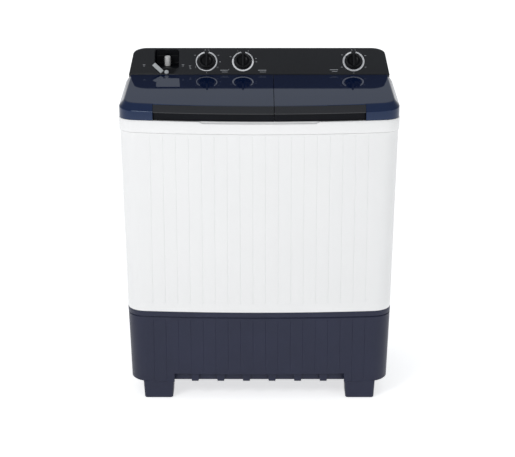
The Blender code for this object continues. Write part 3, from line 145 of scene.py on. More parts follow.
def surface(
    name, colour, roughness, metallic=0.0, shade=0.05, slow=7.0, grain=900.0, depth=0.06,
    stretch=(1, 1, 1), shine=0.5, tint=None,
):
    """A finish with slow shade changes, uneven gloss and a fine mould grain."""
    material = bpy.data.materials.new(name)
    material.use_nodes = True
    tree = material.node_tree
    shader = tree.nodes["Principled BSDF"]
    shader.inputs["Metallic"].default_value = metallic
    shader.inputs["Specular IOR Level"].default_value = shine
    place = tree.nodes.new("ShaderNodeTexCoord")
    mapping = node(tree, "ShaderNodeMapping", Scale=stretch)
    tree.links.new(place.outputs["Object"], mapping.inputs["Vector"])
    cloud = node(tree, "ShaderNodeTexNoise", Scale=slow, Detail=4.0, Roughness=0.6)
    fine = node(tree, "ShaderNodeTexNoise", Scale=grain, Detail=2.0, Roughness=0.5)
    for texture in (cloud, fine):
        tree.links.new(mapping.outputs[0], texture.inputs["Vector"])
    ramp = tree.nodes.new("ShaderNodeValToRGB")
    ramp.color_ramp.elements[0].position, ramp.color_ramp.elements[1].position = 0.3, 0.7
    ramp.color_ramp.elements[0].color = (*[c * (1 - shade) for c in colour], 1.0)
    ramp.color_ramp.elements[1].color = (*[min(1.0, c * (1 + shade)) for c in colour], 1.0)
    tree.links.new(cloud.outputs["Fac"], ramp.inputs[0])
    tree.links.new(ramp.outputs[0], shader.inputs["Base Color"])
    gloss = node(tree, "ShaderNodeMapRange")
    gloss.inputs["To Min"].default_value = roughness * 0.88
    gloss.inputs["To Max"].default_value = min(1.0, roughness * 1.12)
    tree.links.new(fine.outputs["Fac"], gloss.inputs["Value"])
    tree.links.new(gloss.outputs[0], shader.inputs["Roughness"])
    bump = node(tree, "ShaderNodeBump", Strength=depth, Distance=0.0004)
    tree.links.new(fine.outputs["Fac"], bump.inputs["Height"])
    tree.links.new(bump.outputs[0], shader.inputs["Normal"])
    if tint:
        shader.inputs["Specular Tint"].default_value = (*tint, 1.0)
    return material


# %% All the finishes
white = surface("white_moulded", (0.795, 0.794, 0.792), 0.36, shade=0.012, slow=4, grain=1400, depth=0.05)
navy = surface("navy_moulded", (0.017, 0.020, 0.044), 0.42, shade=0.07, slow=9, grain=1300, depth=0.10, shine=0.26)
lid_navy = surface(
    "lid_navy_gloss", (0.0040, 0.0115, 0.0470), 0.045, shade=0.10, slow=3, grain=160, depth=0.008, tint=(0.66, 0.80, 1.0)
)
gloss_black = surface("black_gloss", (0.012, 0.013, 0.017), 0.16, shade=0.10, slow=5, grain=500, depth=0.02)
panel_black = surface("panel_black", (0.016, 0.017, 0.020), 0.28, shade=0.08, slow=5, grain=1600, depth=0.05, shine=0.30)
# Near-black, low-gloss material that paints shade: it darkens the grip's undercut and the inlet recess beyond their own
# black plastic.
painted_shade_black = surface("painted_shade_black", (0.003, 0.0036, 0.006), 0.40, shade=0.12, slow=12, grain=900, depth=0.05, shine=0.10)
matt_black = surface("black_moulded", (0.011, 0.012, 0.015), 0.45, shade=0.12, slow=20, grain=1500, depth=0.12)
knob_black = surface("knob_black", (0.0045, 0.0050, 0.0065), 0.36, shade=0.12, slow=30, grain=1500, depth=0.08, shine=0.28)
cover_black = surface("cover_black", (0.028, 0.029, 0.032), 0.52, shade=0.10, slow=12, grain=700, depth=0.30)
rubber = surface("rubber_matt", (0.018, 0.018, 0.018), 0.82, shade=0.20, slow=40, grain=1100, depth=0.35)
hose_black = surface("hose_black", (0.022, 0.022, 0.024), 0.50, shade=0.15, slow=30, grain=900, depth=0.25)
steel = surface("drawn_steel", (0.56, 0.57, 0.59), 0.27, 1.0, 0.06, 6, 420, 0.10, stretch=(1, 1, 0.04))
bright_steel = surface("bright_steel", (0.62, 0.63, 0.64), 0.20, 1.0, 0.05, 30, 700, 0.12, stretch=(0.05, 1, 1))
silver = surface("silver_print", (0.88, 0.89, 0.91), 0.36, 0.0, 0.06, 60, 1200, 0.05)
print_grey = surface("print_grey", (0.36, 0.37, 0.39), 0.45, 0.0, 0.08, 80, 1400, 0.04)
grey = surface("grey_moulded", (0.46, 0.48, 0.49), 0.34, shade=0.03, slow=25, grain=1300, depth=0.08)
cast = surface("cast_aluminium", (0.30, 0.31, 0.33), 0.50, 0.75, 0.18, 35, 260, 0.55)
blue = surface("pulsator_blue", (0.080, 0.175, 0.370), 0.28, shade=0.06, slow=10, grain=1200, depth=0.07)
print("finishes", len(bpy.data.materials))

# %% [markdown]
# ## How the pieces are shaped
# Most shells of this machine are one outline that changes a little from level to level, so they are grown: a loop
# of edges is laid on the first outline, then extruded and set on the next. A few other helpers cap a loop, turn a
# profile about an axis and hand a finished piece to the frame.


# %% Growing a shell from loops
def loop_of(bm, points):
    """A closed loop of edges on these points."""
    made = bmesh.ops.create_circle(bm, segments=len(points), radius=1.0)["verts"]
    for vert, point in zip(made, points):
        vert.co = point
    return made


def chain_of(bm, points):
    """An open chain of edges through these points."""
    made = [bmesh.ops.create_vert(bm, co=point)["vert"][0] for point in points]
    for pair in zip(made, made[1:]):
        bm.edges.new(pair)
    return made


def edges_of(bm, loop, closed=True):
    return [bm.edges.get(pair) for pair in zip(loop, loop[1:] + loop[:1] if closed else loop[1:])]


def grow(bm, loop, points, closed=True):
    """Extrudes a loop and sets the new loop on these points."""
    made = bmesh.ops.extrude_edge_only(bm, edges=edges_of(bm, loop, closed))["geom"]
    fresh = {item for item in made if isinstance(item, bmesh.types.BMVert)}
    grown = [next(e.other_vert(v) for e in v.link_edges if e.other_vert(v) in fresh) for v in loop]
    for vert, point in zip(grown, points):
        vert.co = point
    return grown


def cap(bm, loop):
    return bmesh.ops.edgeloop_fill(bm, edges=edges_of(bm, loop))["faces"]


def shell(bm, rows, caps=(False, False), closed=True):
    """A skin through rows of points, with its ends capped if asked."""
    first = loop = loop_of(bm, rows[0]) if closed else chain_of(bm, rows[0])
    for row in rows[1:]:
        loop = grow(bm, loop, row, closed)
    if caps[0]:
        cap(bm, first)
    if caps[1]:
        cap(bm, loop)
    return first, loop


# %% Turned shapes, blocks and bars
def arc(centre, radii, start, end, steps):
    angles = [math.radians(start + (end - start) * i / steps) for i in range(steps + 1)]
    return [(centre[0] + radii[0] * math.cos(a), centre[1] + radii[1] * math.sin(a)) for a in angles]


def turned(bm, profile, steps=48, angle=math.tau, place=Matrix(), ring=False):
    """A profile of (radius, height) points turned about Z, then put in place."""
    verts = [bmesh.ops.create_vert(bm, co=(r, 0.0, h))["vert"][0] for r, h in profile]
    edges = [bm.edges.new(pair) for pair in zip(verts, verts[1:] + verts[:1] if ring else verts[1:])]
    whole = abs(angle - math.tau) < 1e-6
    bmesh.ops.spin(
        bm, geom=verts + edges, axis=(0, 0, 1), cent=(0, 0, 0), angle=angle, steps=steps, use_merge=whole
    )
    reach = set(verts)
    queue = list(verts)
    while queue:
        for e in queue.pop().link_edges:
            for v in e.verts:
                if v not in reach:
                    reach.add(v)
                    queue.append(v)
    bmesh.ops.transform(bm, matrix=place, verts=list(reach))


def block(bm, low, high, edge=0.001, steps=2, place=Matrix()):
    """A block between two corners with rounded edges."""
    verts = bmesh.ops.create_cube(bm, size=1.0)["verts"]
    size = [b - a for a, b in zip(low, high)]
    middle = [(a + b) / 2 for a, b in zip(low, high)]
    bmesh.ops.scale(bm, vec=size, verts=verts)
    bmesh.ops.translate(bm, vec=middle, verts=verts)
    bmesh.ops.transform(bm, matrix=place, verts=verts)
    if edge:
        edges = list({e for v in verts for e in v.link_edges})
        bmesh.ops.bevel(
            bm, geom=edges, offset=edge, segments=steps, affect="EDGES", profile=0.5, material=-1
        )


def at(x=0.0, y=0.0, z=0.0):
    return Matrix.Translation((x, y, z))


ALONG_Y = Matrix.Rotation(-math.pi / 2, 4, "X")


# %% Handing a piece to the frame
def add(name, bm, material, body="machine", nodes=(), wall=0.0, facing=None, bend=32, merge=2e-6):
    """A finished piece at the origin that rides on a body and stands for its CAD nodes."""
    bmesh.ops.remove_doubles(bm, verts=bm.verts, dist=merge)
    bmesh.ops.recalc_face_normals(bm, faces=bm.faces)
    if facing is not None:
        widest = max(bm.faces, key=lambda face: face.calc_area() * abs(face.normal.dot(Vector(facing))))
        if widest.normal.dot(Vector(facing)) < 0:
            bmesh.ops.reverse_faces(bm, faces=bm.faces)
    mesh = bpy.data.meshes.new(name)
    bm.edges.index_update()
    borders = [e.index for e in bm.edges if e.is_boundary] if wall else []
    bm.to_mesh(mesh)
    bm.free()
    mesh.materials.append(material)
    mesh.shade_smooth()
    mesh.set_sharp_from_angle(angle=math.radians(bend))
    for index in borders:
        mesh.edges[index].use_edge_sharp = True
    piece = bpy.data.objects.new(name, mesh)
    scene.collection.objects.link(piece)
    if wall:
        thick = piece.modifiers.new("wall", "SOLIDIFY")
        thick.thickness, thick.offset, thick.use_even_offset = wall, -1.0, True
    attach(piece, body)
    if nodes:
        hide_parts(*nodes)
    print(f"{name}: {len(mesh.polygons)} faces")
    return piece


# %% [markdown]
# ## The body's outline
# Seen from above, the body has a front that bows forward by a few centimetres, round front corners and sides that
# narrow a little towards the back. Both the sides and the bow change with height: the mould needs draft to let the
# part out. Everything else hangs on this one outline, so it is written once.

# %% Levels and sizes from the CAD frame
WIDTH, DEPTH = cad_high.x - cad_low.x, cad_high.y - cad_low.y
FRONT_Y, REAR_Y = cad_low.y, cad_high.y
BODY_REAR = REAR_Y - 0.004
SKIRT_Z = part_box("foot_front_left")[1].z + 0.0003
CABINET_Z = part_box("cabinet")[0].z
LIP_Z = CABINET_Z - 0.013
RIM_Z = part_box("cabinet")[1].z + 0.0003
DECK_Z = RIM_Z + 0.0345
FLOOR_Z, FLOOR_TOP = SKIRT_Z + 0.025, SKIRT_Z + 0.029
CORNER, REAR_CORNER, NARROWING = 0.055, 0.022, 0.008
GROOVES = 18
GROOVE_PITCH = (WIDTH - 2 * 0.0898) / (GROOVES - 1)
joints = {joint["name"]: joint for joint in frame["joints"]}
HINGE_Y, HINGE_Z = joints["wash_lid_hinge"]["pos_m"][1:]
print("levels", [round(v, 4) for v in (SKIRT_Z, LIP_Z, CABINET_Z, RIM_Z, DECK_Z)], "hinge", HINGE_Y, HINGE_Z)


# %% The outline itself
def cabinet_half(z):
    return WIDTH / 2 - 0.0047 - 0.022 * (RIM_Z - z)


def base_half(z):
    return cabinet_half(LIP_Z) - 0.0006 - 0.031 * (LIP_Z - z)


def bow_at(z):
    return 0.010 + 0.018 * (z - SKIRT_Z) / (DECK_Z - SKIRT_Z)


def outline(half, z, inset=0.0, front=(), rear=BODY_REAR, rear_radius=REAR_CORNER, sides=(), chain=False):
    """The body in plan at height z. As a chain it leaves the rear open."""
    bow, radius, side = bow_at(z), CORNER - inset, half - inset
    middle = FRONT_Y + WIDTH / 2 - half + inset
    lean = math.atan(2 * bow / (half - CORNER))
    reach = side - radius * (1 - math.sin(lean))
    centre_y = middle + bow + radius * math.cos(lean)
    rear_y, rear_radius = rear - inset, max(rear_radius - inset, 0.001)
    side_at = lambda y: side - NARROWING * (y - centre_y) / (REAR_Y - centre_y)
    right = arc((side - radius, centre_y), (radius, radius), -90 + math.degrees(lean), 0, 14)
    right += [(side_at(y), y) for y in sides]
    if not chain:
        right += arc((side_at(rear_y) - rear_radius, rear_y - rear_radius), (rear_radius,) * 2, 0, 90, 6)
    left = [(-x, y) for x, y in reversed(right)]
    across = [(x, middle + bow * (x / reach) ** 2 + depth) for x, depth in front]
    points = left + across + right if chain else across + right + left
    return [Vector((x, y, z)) for x, y in points]


def plain(marks=(), count=44):
    """Even points across the front, with a few exact ones added."""
    reach = WIDTH / 2 - CORNER - 0.006
    even = [reach * (2 * i / count - 1) for i in range(count + 1)]
    kept = [x for x in even if all(abs(x - mark) > 0.004 for mark in marks)]
    return [(x, 0.0) for x in sorted(kept + list(marks))]


GROOVE_SHAPE = ((-0.5, 0.0), (-0.38, 0.12), (-0.26, 0.82), (0.0, 1.0), (0.26, 0.82), (0.38, 0.12), (0.5, 0.0))


def grooved(depth, width=0.0034):
    """Points across the front with a soft groove at each place."""
    points = []
    for i in range(GROOVES):
        x = (i - (GROOVES - 1) / 2) * GROOVE_PITCH
        points += [(x + share * width, depth * part) for share, part in GROOVE_SHAPE]
        if i < GROOVES - 1:
            points += [(x + GROOVE_PITCH * share, 0.0) for share in (0.32, 0.5, 0.68)]
    return points


# %% [markdown]
# ## Base
# The base is one deep navy moulding that everything stands on. Its front carries the same grooves as the body, a lip
# at the top receives the cabinet, and a wide notch at the bottom lets air in over six short ribs. The skin is grown
# from outlines, the notch is cut out of it with three planes, and a Solidify wall closes it.


# %% Base skin
def cut_opening(bm, low, high, test):
    """Cuts a rectangular opening in the faces that pass the test, and clears what is inside it."""
    for axis in (0, 1, 2):
        for level in (low[axis], high[axis]):
            if level is None:
                continue
            normal = [0.0, 0.0, 0.0]
            normal[axis] = 1.0
            faces = [f for f in bm.faces if test(f.calc_center_median())]
            geom = list({v for f in faces for v in f.verts} | {e for f in faces for e in f.edges}) + faces
            point = [0.0 if i != axis else level for i in range(3)]
            bmesh.ops.bisect_plane(bm, geom=geom, plane_co=point, plane_no=normal, dist=1e-6)

    def inside(point):
        return test(point) and all(
            (a is None or point[i] > a) and (b is None or point[i] < b) for i, (a, b) in enumerate(zip(low, high))
        )

    gone = [f for f in bm.faces if inside(f.calc_center_median())]
    bmesh.ops.delete(bm, geom=gone, context="FACES")
    return len(gone)


NOTCH_HALF = WIDTH / 2 - 0.101 - 0.044 - 0.003
groove_top = LIP_Z - 0.010
GROOVE_DEPTH, RUN_OUT_DEPTH = 0.0046, 0.0014
smooth_front, half_cut, cut_front = grooved(0.0), grooved(RUN_OUT_DEPTH), grooved(GROOVE_DEPTH)
BASE_ROWS = (
    (base_half, SKIRT_Z, SKIRT_Z + 0.0002, 0.0040, cut_front),
    (base_half, SKIRT_Z, SKIRT_Z + 0.0006, 0.0012, cut_front),
    (base_half, SKIRT_Z, SKIRT_Z + 0.0018, 0.0, cut_front),
    (base_half, FLOOR_Z, FLOOR_Z, 0.0, cut_front),
    (base_half, groove_top, groove_top - 0.006, 0.0, cut_front),
    (base_half, groove_top, groove_top - 0.002, 0.0, half_cut),
    (base_half, groove_top, groove_top, 0.0, smooth_front),
    (base_half, LIP_Z, LIP_Z - 0.0068, 0.0, smooth_front),
    (base_half, LIP_Z, LIP_Z - 0.0060, 0.0006, smooth_front),
    (base_half, LIP_Z, LIP_Z - 0.0056, 0.0030, smooth_front),
    (base_half, LIP_Z, LIP_Z - 0.0014, 0.0034, smooth_front),
    (cabinet_half, LIP_Z, LIP_Z - 0.0002, 0.0012, smooth_front),
    (cabinet_half, LIP_Z, LIP_Z + 0.0004, 0.0003, smooth_front),
    (cabinet_half, LIP_Z, LIP_Z + 0.0016, 0.0, smooth_front),
    (cabinet_half, CABINET_Z, CABINET_Z - 0.0012, 0.0, smooth_front),
    (cabinet_half, CABINET_Z, CABINET_Z - 0.0003, 0.0010, smooth_front),
    (cabinet_half, CABINET_Z, CABINET_Z - 0.0003, 0.0035, smooth_front),
)
bm = bmesh.new()
shell(bm, [outline(half(at_z), z, inset, front) for half, at_z, z, inset, front in BASE_ROWS])
cleared = cut_opening(
    bm, (-NOTCH_HALF, None, None), (NOTCH_HALF, None, FLOOR_Z), lambda p: p.y < -0.19 and p.z < FLOOR_Z + 0.001
)
OUTLET_X, OUTLET_Z = WIDTH / 2 - 0.095, 0.130
for side, hole in ((-1, 0.0148), (1, 0.0088)):
    cut_opening(
        bm,
        (side * OUTLET_X - hole, None, OUTLET_Z - hole),
        (side * OUTLET_X + hole, None, OUTLET_Z + hole),
        lambda p: p.y > 0.2,
    )
add("base_skin", bm, navy, nodes=["base"], wall=0.003, facing=(0, -1, 0))
print("faces cleared for the notch", cleared)

# %% [markdown]
# Inside the skin lies a floor pan that carries the motors. A short wall closes the notch from behind, and the ribs
# stand in front of it. Four boxes on the pan's underside take the feet.

# %% Floor pan, ribs and foot sockets
bm = bmesh.new()
shell(
    bm,
    [
        outline(base_half(z), z, inset, plain(count=20))
        for z, inset in ((FLOOR_Z, 0.0032), (FLOOR_Z + 0.0005, 0.0028), (FLOOR_TOP, 0.0028), (FLOOR_TOP, 0.0040))
    ],
    caps=(True, True),
)
recess = FRONT_Y + WIDTH / 2 - base_half(SKIRT_Z) + 0.018
block(bm, (-NOTCH_HALF - 0.003, recess, SKIRT_Z + 0.0005), (NOTCH_HALF + 0.003, recess + 0.004, FLOOR_Z), 0.0008)
for side in (-1, 1):
    inner, outer = side * (NOTCH_HALF + 0.0005), side * (NOTCH_HALF + 0.0035)
    low_x, high_x = sorted((inner, outer))
    block(bm, (low_x, recess - 0.0135, SKIRT_Z + 0.0005), (high_x, recess + 0.004, FLOOR_Z), 0.0006)
add("base_floor", bm, navy)

bm = bmesh.new()
for i in range(6):
    x = (i - 2.5) * 2 * NOTCH_HALF / 6.6
    before = set(bm.verts)
    block(bm, (x - 0.013, recess - 0.010, SKIRT_Z - 0.0010), (x + 0.013, recess + 0.001, FLOOR_Z + 0.001), 0.0)
    for vert in set(bm.verts) - before:
        if vert.co.z < FLOOR_Z - 0.01:
            vert.co.x += math.copysign(0.003, x - vert.co.x)
bmesh.ops.bevel(bm, geom=bm.edges[:], offset=0.0015, segments=3, affect="EDGES", profile=0.5, material=-1)
add("notch_ribs", bm, navy)

foot_names = [f"foot_{end}_{side}" for end in ("front", "rear") for side in ("left", "right")]
FEET = {name: sum(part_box(name), Vector()) / 2 for name in foot_names}
bm = bmesh.new()
for centre in FEET.values():
    block(
        bm,
        (centre.x - 0.045, centre.y - 0.030, SKIRT_Z + 0.0004),
        (centre.x + 0.045, centre.y + 0.036, FLOOR_Z + 0.001),
        0.003,
        3,
    )
add("foot_sockets", bm, navy)

# %% [markdown]
# ## Feet
# Each foot is a short tapered block with round corners, and a rubber pad keeps it from walking about while it spins.
# The pads are cut with cross grooves for grip. A cube is scaled, tapered and bevelled in two passes: large radii on
# the upright edges, a smaller one underneath.


# %% Feet and pads
def foot_block(bm, centre, half_x, half_y, low, high, taper, upright, under):
    verts = bmesh.ops.create_cube(bm, size=1.0)["verts"]
    bmesh.ops.scale(bm, vec=(2 * half_x, 2 * half_y, high - low), verts=verts)
    bmesh.ops.translate(bm, vec=(centre.x, centre.y, (low + high) / 2), verts=verts)
    for vert in verts:
        if vert.co.z < (low + high) / 2:
            vert.co.x -= math.copysign(taper, vert.co.x - centre.x)
            vert.co.y -= math.copysign(taper, vert.co.y - centre.y)
    tall = [e for e in {e for v in verts for e in v.link_edges} if abs(e.verts[0].co.z - e.verts[1].co.z) > 1e-4]
    bmesh.ops.bevel(bm, geom=tall, offset=upright, segments=6, affect="EDGES", profile=0.5, material=-1)
    rim = [e for e in bm.edges if all(abs(v.co.z - low) < 1e-5 for v in e.verts) and not e.is_boundary]
    bmesh.ops.bevel(bm, geom=rim, offset=under, segments=4, affect="EDGES", profile=0.5, material=-1)


for name, centre in FEET.items():
    bm = bmesh.new()
    foot_block(bm, centre, 0.0445, 0.0375, 0.0006, SKIRT_Z - 0.0003, 0.003, 0.008, 0.0035)
    add(name + "_shell", bm, navy, nodes=[name])
    pad_name = name.replace("foot_", "foot_pad_")
    bm = bmesh.new()
    for i in range(5):
        left = centre.x - 0.031 + i * 0.0126
        block(bm, (left, centre.y - 0.022, 0.0), (left + 0.0106, centre.y + 0.022, 0.0045), 0.001, 2)
    block(bm, (centre.x - 0.031, centre.y - 0.023, 0.0035), (centre.x + 0.031, centre.y + 0.023, 0.008), 0.001, 2)
    add(pad_name + "_tread", bm, rubber, nodes=[pad_name])

# %% [markdown]
# ## Cabinet
# The white cabinet is a thin ring of plastic between the base and the tub. Its front has eighteen shallow grooves
# that stop short of both edges, and its back is open behind the service cover. The grooves run out over a few
# millimetres, as a cutter that rises slowly would leave them.

# %% Cabinet
low, high = CABINET_Z + 0.027, RIM_Z - 0.006
cabinet_levels = (
    (CABINET_Z, 0.0012, smooth_front),
    (CABINET_Z + 0.0006, 0.0003, smooth_front),
    (CABINET_Z + 0.0016, 0.0, smooth_front),
    (low, 0.0, smooth_front),
    (low + 0.002, 0.0, half_cut),
    (low + 0.006, 0.0, cut_front),
    (high - 0.006, 0.0, cut_front),
    (high - 0.002, 0.0, half_cut),
    (high, 0.0, smooth_front),
    (RIM_Z - 0.0036, 0.0, smooth_front),
    (RIM_Z - 0.0030, 0.0006, smooth_front),
    (RIM_Z - 0.0026, 0.0040, smooth_front),
    (RIM_Z - 0.0022, 0.0062, smooth_front),
    (RIM_Z - 0.0003, 0.0064, smooth_front),
)
bm = bmesh.new()
shell(bm, [outline(cabinet_half(z), z, inset, front) for z, inset, front in cabinet_levels])
cover_low, cover_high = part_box("rear_cover")
opening_x, opening_low, opening_high = cover_high.x - 0.012, cover_low.z + 0.012, cover_high.z - 0.012
cut_opening(bm, (-opening_x, None, opening_low), (opening_x, None, opening_high), lambda p: p.y > 0.2)
add("cabinet_shell", bm, white, nodes=["cabinet"], wall=0.0025, facing=(0, -1, 0))

# %% [markdown]
# ## Rear cover
# A pressed panel closes the back. Two banks of louvres let the motors breathe, and eight screws hold it. The panel
# starts as a plate with round corners; each louvre is a short hooded fin, so the air slots stay dark.

# %% Rear cover, louvres and screws
bm = bmesh.new()
plate_y = cover_low.y


def rounded_rectangle(low, high, radius, steps=6):
    """A rectangle with round corners, counter-clockwise."""
    centres = (
        (high[0] - radius, low[1] + radius, -90),
        (high[0] - radius, high[1] - radius, 0),
        (low[0] + radius, high[1] - radius, 90),
        (low[0] + radius, low[1] + radius, 180),
    )
    points = []
    for x, y, start in centres:
        points += arc((x, y), (radius, radius), start, start + 90, steps)
    return points


def upright_row(inset, y):
    low, high = (cover_low.x + inset, cover_low.z + inset), (cover_high.x - inset, cover_high.z - inset)
    return [Vector((x, y, z)) for x, z in rounded_rectangle(low, high, max(0.012 - inset, 0.002))]


outer = plate_y + 0.002
bead = ((0.018, 0.0), (0.0195, 0.0008), (0.022, 0.0008), (0.0235, 0.0))
rows = [upright_row(0.0, plate_y), upright_row(0.0, outer - 0.0006), upright_row(0.0006, outer)]
rows += [upright_row(inset, outer - sink) for inset, sink in bead]
shell(bm, rows, caps=(True, True))
LOUVRE_REACH = 0.0040
for side in (-1, 1):
    for row in range(9):
        z = cover_low.z + 0.055 + row * 0.013
        x = side * cover_high.x / 2
        before = set(bm.verts)
        block(bm, (x - 0.060, outer - 0.0008, z), (x + 0.060, outer + LOUVRE_REACH, z + 0.0080), 0.0)
        for vert in set(bm.verts) - before:
            if vert.co.y > outer and vert.co.z > z + 0.004:
                vert.co.y = outer + 0.0001
add("rear_cover_panel", bm, cover_black, nodes=["rear_cover"])
bm = bmesh.new()
for x in (-1, -0.34, 0.34, 1):
    for z in (cover_low.z + 0.008, cover_high.z - 0.008):
        screw = at(x * (cover_high.x - 0.009), outer, z) @ ALONG_Y
        turned(bm, [(0.0, 0.0009), (0.0016, 0.0010), (0.0032, 0.0006), (0.0036, -0.0004)], 20, place=screw)
        block(bm, (-0.0022, -0.0003, 0.0006), (0.0022, 0.0003, 0.0012), 0.0, place=screw)
        block(bm, (-0.0003, -0.0022, 0.0006), (0.0003, 0.0022, 0.0012), 0.0, place=screw)
add("rear_cover_screws", bm, bright_steel)

# %% [markdown]
# ## Twin tub
# Rim, deck and both wells are one large white moulding. Its rim stands proud of the cabinet all round, the deck
# has a mouth over each well, and the wash well reaches back under the panel to make room for the lint filter. A
# finger scoop in the front of the rim lets a hand get under the lids. One skin goes over the rim, across the
# deck and down into each well, and Solidify then gives it its wall.

# %% Rim and deck edge
SCOOP_HALF, SCOOP_RISE = 0.158, 0.005
scoop_marks = [s * x for s in (-1, 1) for x in (SCOOP_HALF, SCOOP_HALF + 0.003, SCOOP_HALF + 0.007, SCOOP_HALF + 0.010)]
rim_front = plain(scoop_marks, 60)


def scoop_drop(x, y):
    """How far the rim's top edge dips at a point of the front."""
    if y > -0.15:
        return 0.0
    share = min(1.0, max(0.0, (SCOOP_HALF + 0.010 - abs(x)) / 0.010))
    return SCOOP_RISE * share * share * (3 - 2 * share)


def rim_row(z, inset, dip=0.0):
    points = outline(WIDTH / 2, z, inset, rim_front, REAR_Y)
    return [Vector((p.x, p.y, p.z - dip * scoop_drop(p.x, p.y))) for p in points]


bm = bmesh.new()
RIM_ROWS = (
    (RIM_Z + 0.004, 0.0090, 0.0), (RIM_Z + 0.0005, 0.0085, 0.0), (RIM_Z, 0.0078, 0.0), (RIM_Z, 0.0014, 0.0),
    (RIM_Z + 0.0004, 0.0004, 0.0), (RIM_Z + 0.0014, 0.0, 0.0), (DECK_Z - 0.0080, 0.0, 0.0),
    (DECK_Z - 0.0018, 0.0, 1.0), (DECK_Z - 0.0005, 0.0005, 1.0), (DECK_Z, 0.0018, 1.0), (DECK_Z, 0.0056, 1.0),
    (DECK_Z, 0.0066, 0.3), (DECK_Z, 0.0076, 0.0),
)
_, deck_edge = shell(bm, [rim_row(*row) for row in RIM_ROWS])

# %% [markdown]
# Each well is grown downwards from its mouth, and its floor is drawn in towards the shaft. The flat deck between the
# rim and the two mouths is then filled in one go, as a sheet with two openings.

# %% Mouths, wells and floors
WASH_CORNER = 0.080
filter_low, filter_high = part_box("lint_filter")
pulsator_low, pulsator_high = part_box("pulsator")
wash_x, wash_y = (pulsator_low.x + pulsator_high.x) / 2, (pulsator_low.y + pulsator_high.y) / 2
basket_low, basket_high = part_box("spin_basket")
spin_x, spin_y = (basket_low.x + basket_high.x) / 2, (basket_low.y + basket_high.y) / 2
WASH_LOW, WASH_HIGH = (-WIDTH / 2 + 0.033, FRONT_Y + 0.035), (0.021, REAR_Y - 0.107)
WASH_FLOOR = pulsator_low.z - 0.0065
SPIN_FLOOR = basket_low.z - 0.040
MOUTH_REAR, MOUTH_RADIUS, WELL_RADIUS = 0.038, 0.106, 0.132


def well_row(z, grow_by=0.0, rear=WASH_HIGH[1]):
    low = (WASH_LOW[0] - grow_by, WASH_LOW[1] - grow_by)
    high = (WASH_HIGH[0] + grow_by, rear + grow_by)
    return [Vector((x, y, z)) for x, y in rounded_rectangle(low, high, WASH_CORNER + grow_by, 14)]


def round_row(z, radius, count=72):
    return [Vector((spin_x + a, spin_y + b, z)) for a, b in arc((0, 0), (radius, radius), 0, 360 - 360 / count, count - 1)]


under = DECK_Z - 0.003
wash_rows = [well_row(DECK_Z + 0.0026, 0.0030, MOUTH_REAR), well_row(DECK_Z + 0.0034, 0.0016, MOUTH_REAR)]
wash_rows += [well_row(DECK_Z + 0.0028, 0.0004, MOUTH_REAR), well_row(DECK_Z + 0.0012, 0.0, MOUTH_REAR)]
wash_rows += [well_row(under - 0.001, 0.0, MOUTH_REAR), well_row(under - 0.004, 0.0, MOUTH_REAR + 0.004)]
wash_rows += [well_row(under - 0.006, 0.0, MOUTH_REAR + 0.015), well_row(under - 0.008, 0.0, 0.112)]
wash_rows += [well_row(under - 0.012, 0.0, 0.121), well_row(under - 0.020, 0.0)]
WELL_FILLET = 0.030
for a in (0, 0.39, 0.79, 1.18, 1.57):
    wash_rows.append(well_row(WASH_FLOOR + WELL_FILLET - WELL_FILLET * math.sin(a), -WELL_FILLET * (1 - math.cos(a))))
wash_lip = loop_of(bm, well_row(DECK_Z, 0.0052, MOUTH_REAR))
loop = wash_lip
for row in wash_rows:
    loop = grow(bm, loop, row)
flat = [v.co.copy() for v in loop]
centre = Vector((wash_x, wash_y))
for radius, drop in ((0.150, 0.0), (0.146, -0.0015), (0.030, -0.0015), (0.022, 0.0), (0.0203, 0.0)):
    row = []
    for point in flat:
        spoke = point.xy - centre
        reach = min(radius, spoke.length - 0.002)
        row.append(Vector((*(centre + spoke.normalized() * reach), WASH_FLOOR + drop + 0.0001)))
    loop = grow(bm, loop, row)
spin_lip = loop_of(bm, round_row(DECK_Z, MOUTH_RADIUS + 0.0052))
loop = spin_lip
spin_rows = [(DECK_Z + 0.0026, 0.1090), (DECK_Z + 0.0034, 0.1076), (DECK_Z + 0.0028, 0.1064), (DECK_Z + 0.0012, 0.106)]
spin_rows += [(under - 0.001, 0.106), (under - 0.004, 0.108), (under - 0.005, 0.128), (under - 0.008, 0.1315)]
spin_rows += [(under - 0.014, WELL_RADIUS), (SPIN_FLOOR + 0.020, WELL_RADIUS), (SPIN_FLOOR + 0.008, 0.1285)]
spin_rows += [(SPIN_FLOOR + 0.002, 0.1200), (SPIN_FLOOR, 0.110), (SPIN_FLOOR, 0.040), (SPIN_FLOOR, 0.0303)]
for z, radius in spin_rows:
    loop = grow(bm, loop, round_row(z, radius))
rims = [e for group in (deck_edge, wash_lip, spin_lip) for e in edges_of(bm, group)]
bmesh.ops.triangle_fill(bm, use_beauty=True, edges=rims, normal=(0, 0, 1))
add("tub_moulding", bm, white, nodes=["twin_tub"], wall=0.002, facing=(0, 0, 1), bend=28)

# %% [markdown]
# The deck also carries the posts for the lids' hinge rods, and a cheek at each end that fills the gap under the
# lids' round tails. They are flat shapes pulled sideways and softened at the edges.


# %% Hinge posts and cheeks
def pulled(bm, points, left, right, edge=0.0006, steps=2):
    """A flat (y, z) shape pulled along X and softened."""
    before = set(bm.edges)
    loop = loop_of(bm, [Vector((left, y, z)) for y, z in points])
    cap(bm, loop)
    end = grow(bm, loop, [Vector((right, y, z)) for y, z in points])
    cap(bm, end)
    if edge:
        ends = edges_of(bm, loop) + edges_of(bm, end)
        bmesh.ops.bevel(bm, geom=ends, offset=edge, segments=steps, affect="EDGES", profile=0.5, material=-1)


SPLIT_X = WIDTH / 2 - 0.354
ROD_ENDS = {name: (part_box(name + "_lid_hinge_rod")[0].x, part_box(name + "_lid_hinge_rod")[1].x) for name in ("wash", "spin")}
TAIL = 0.0225


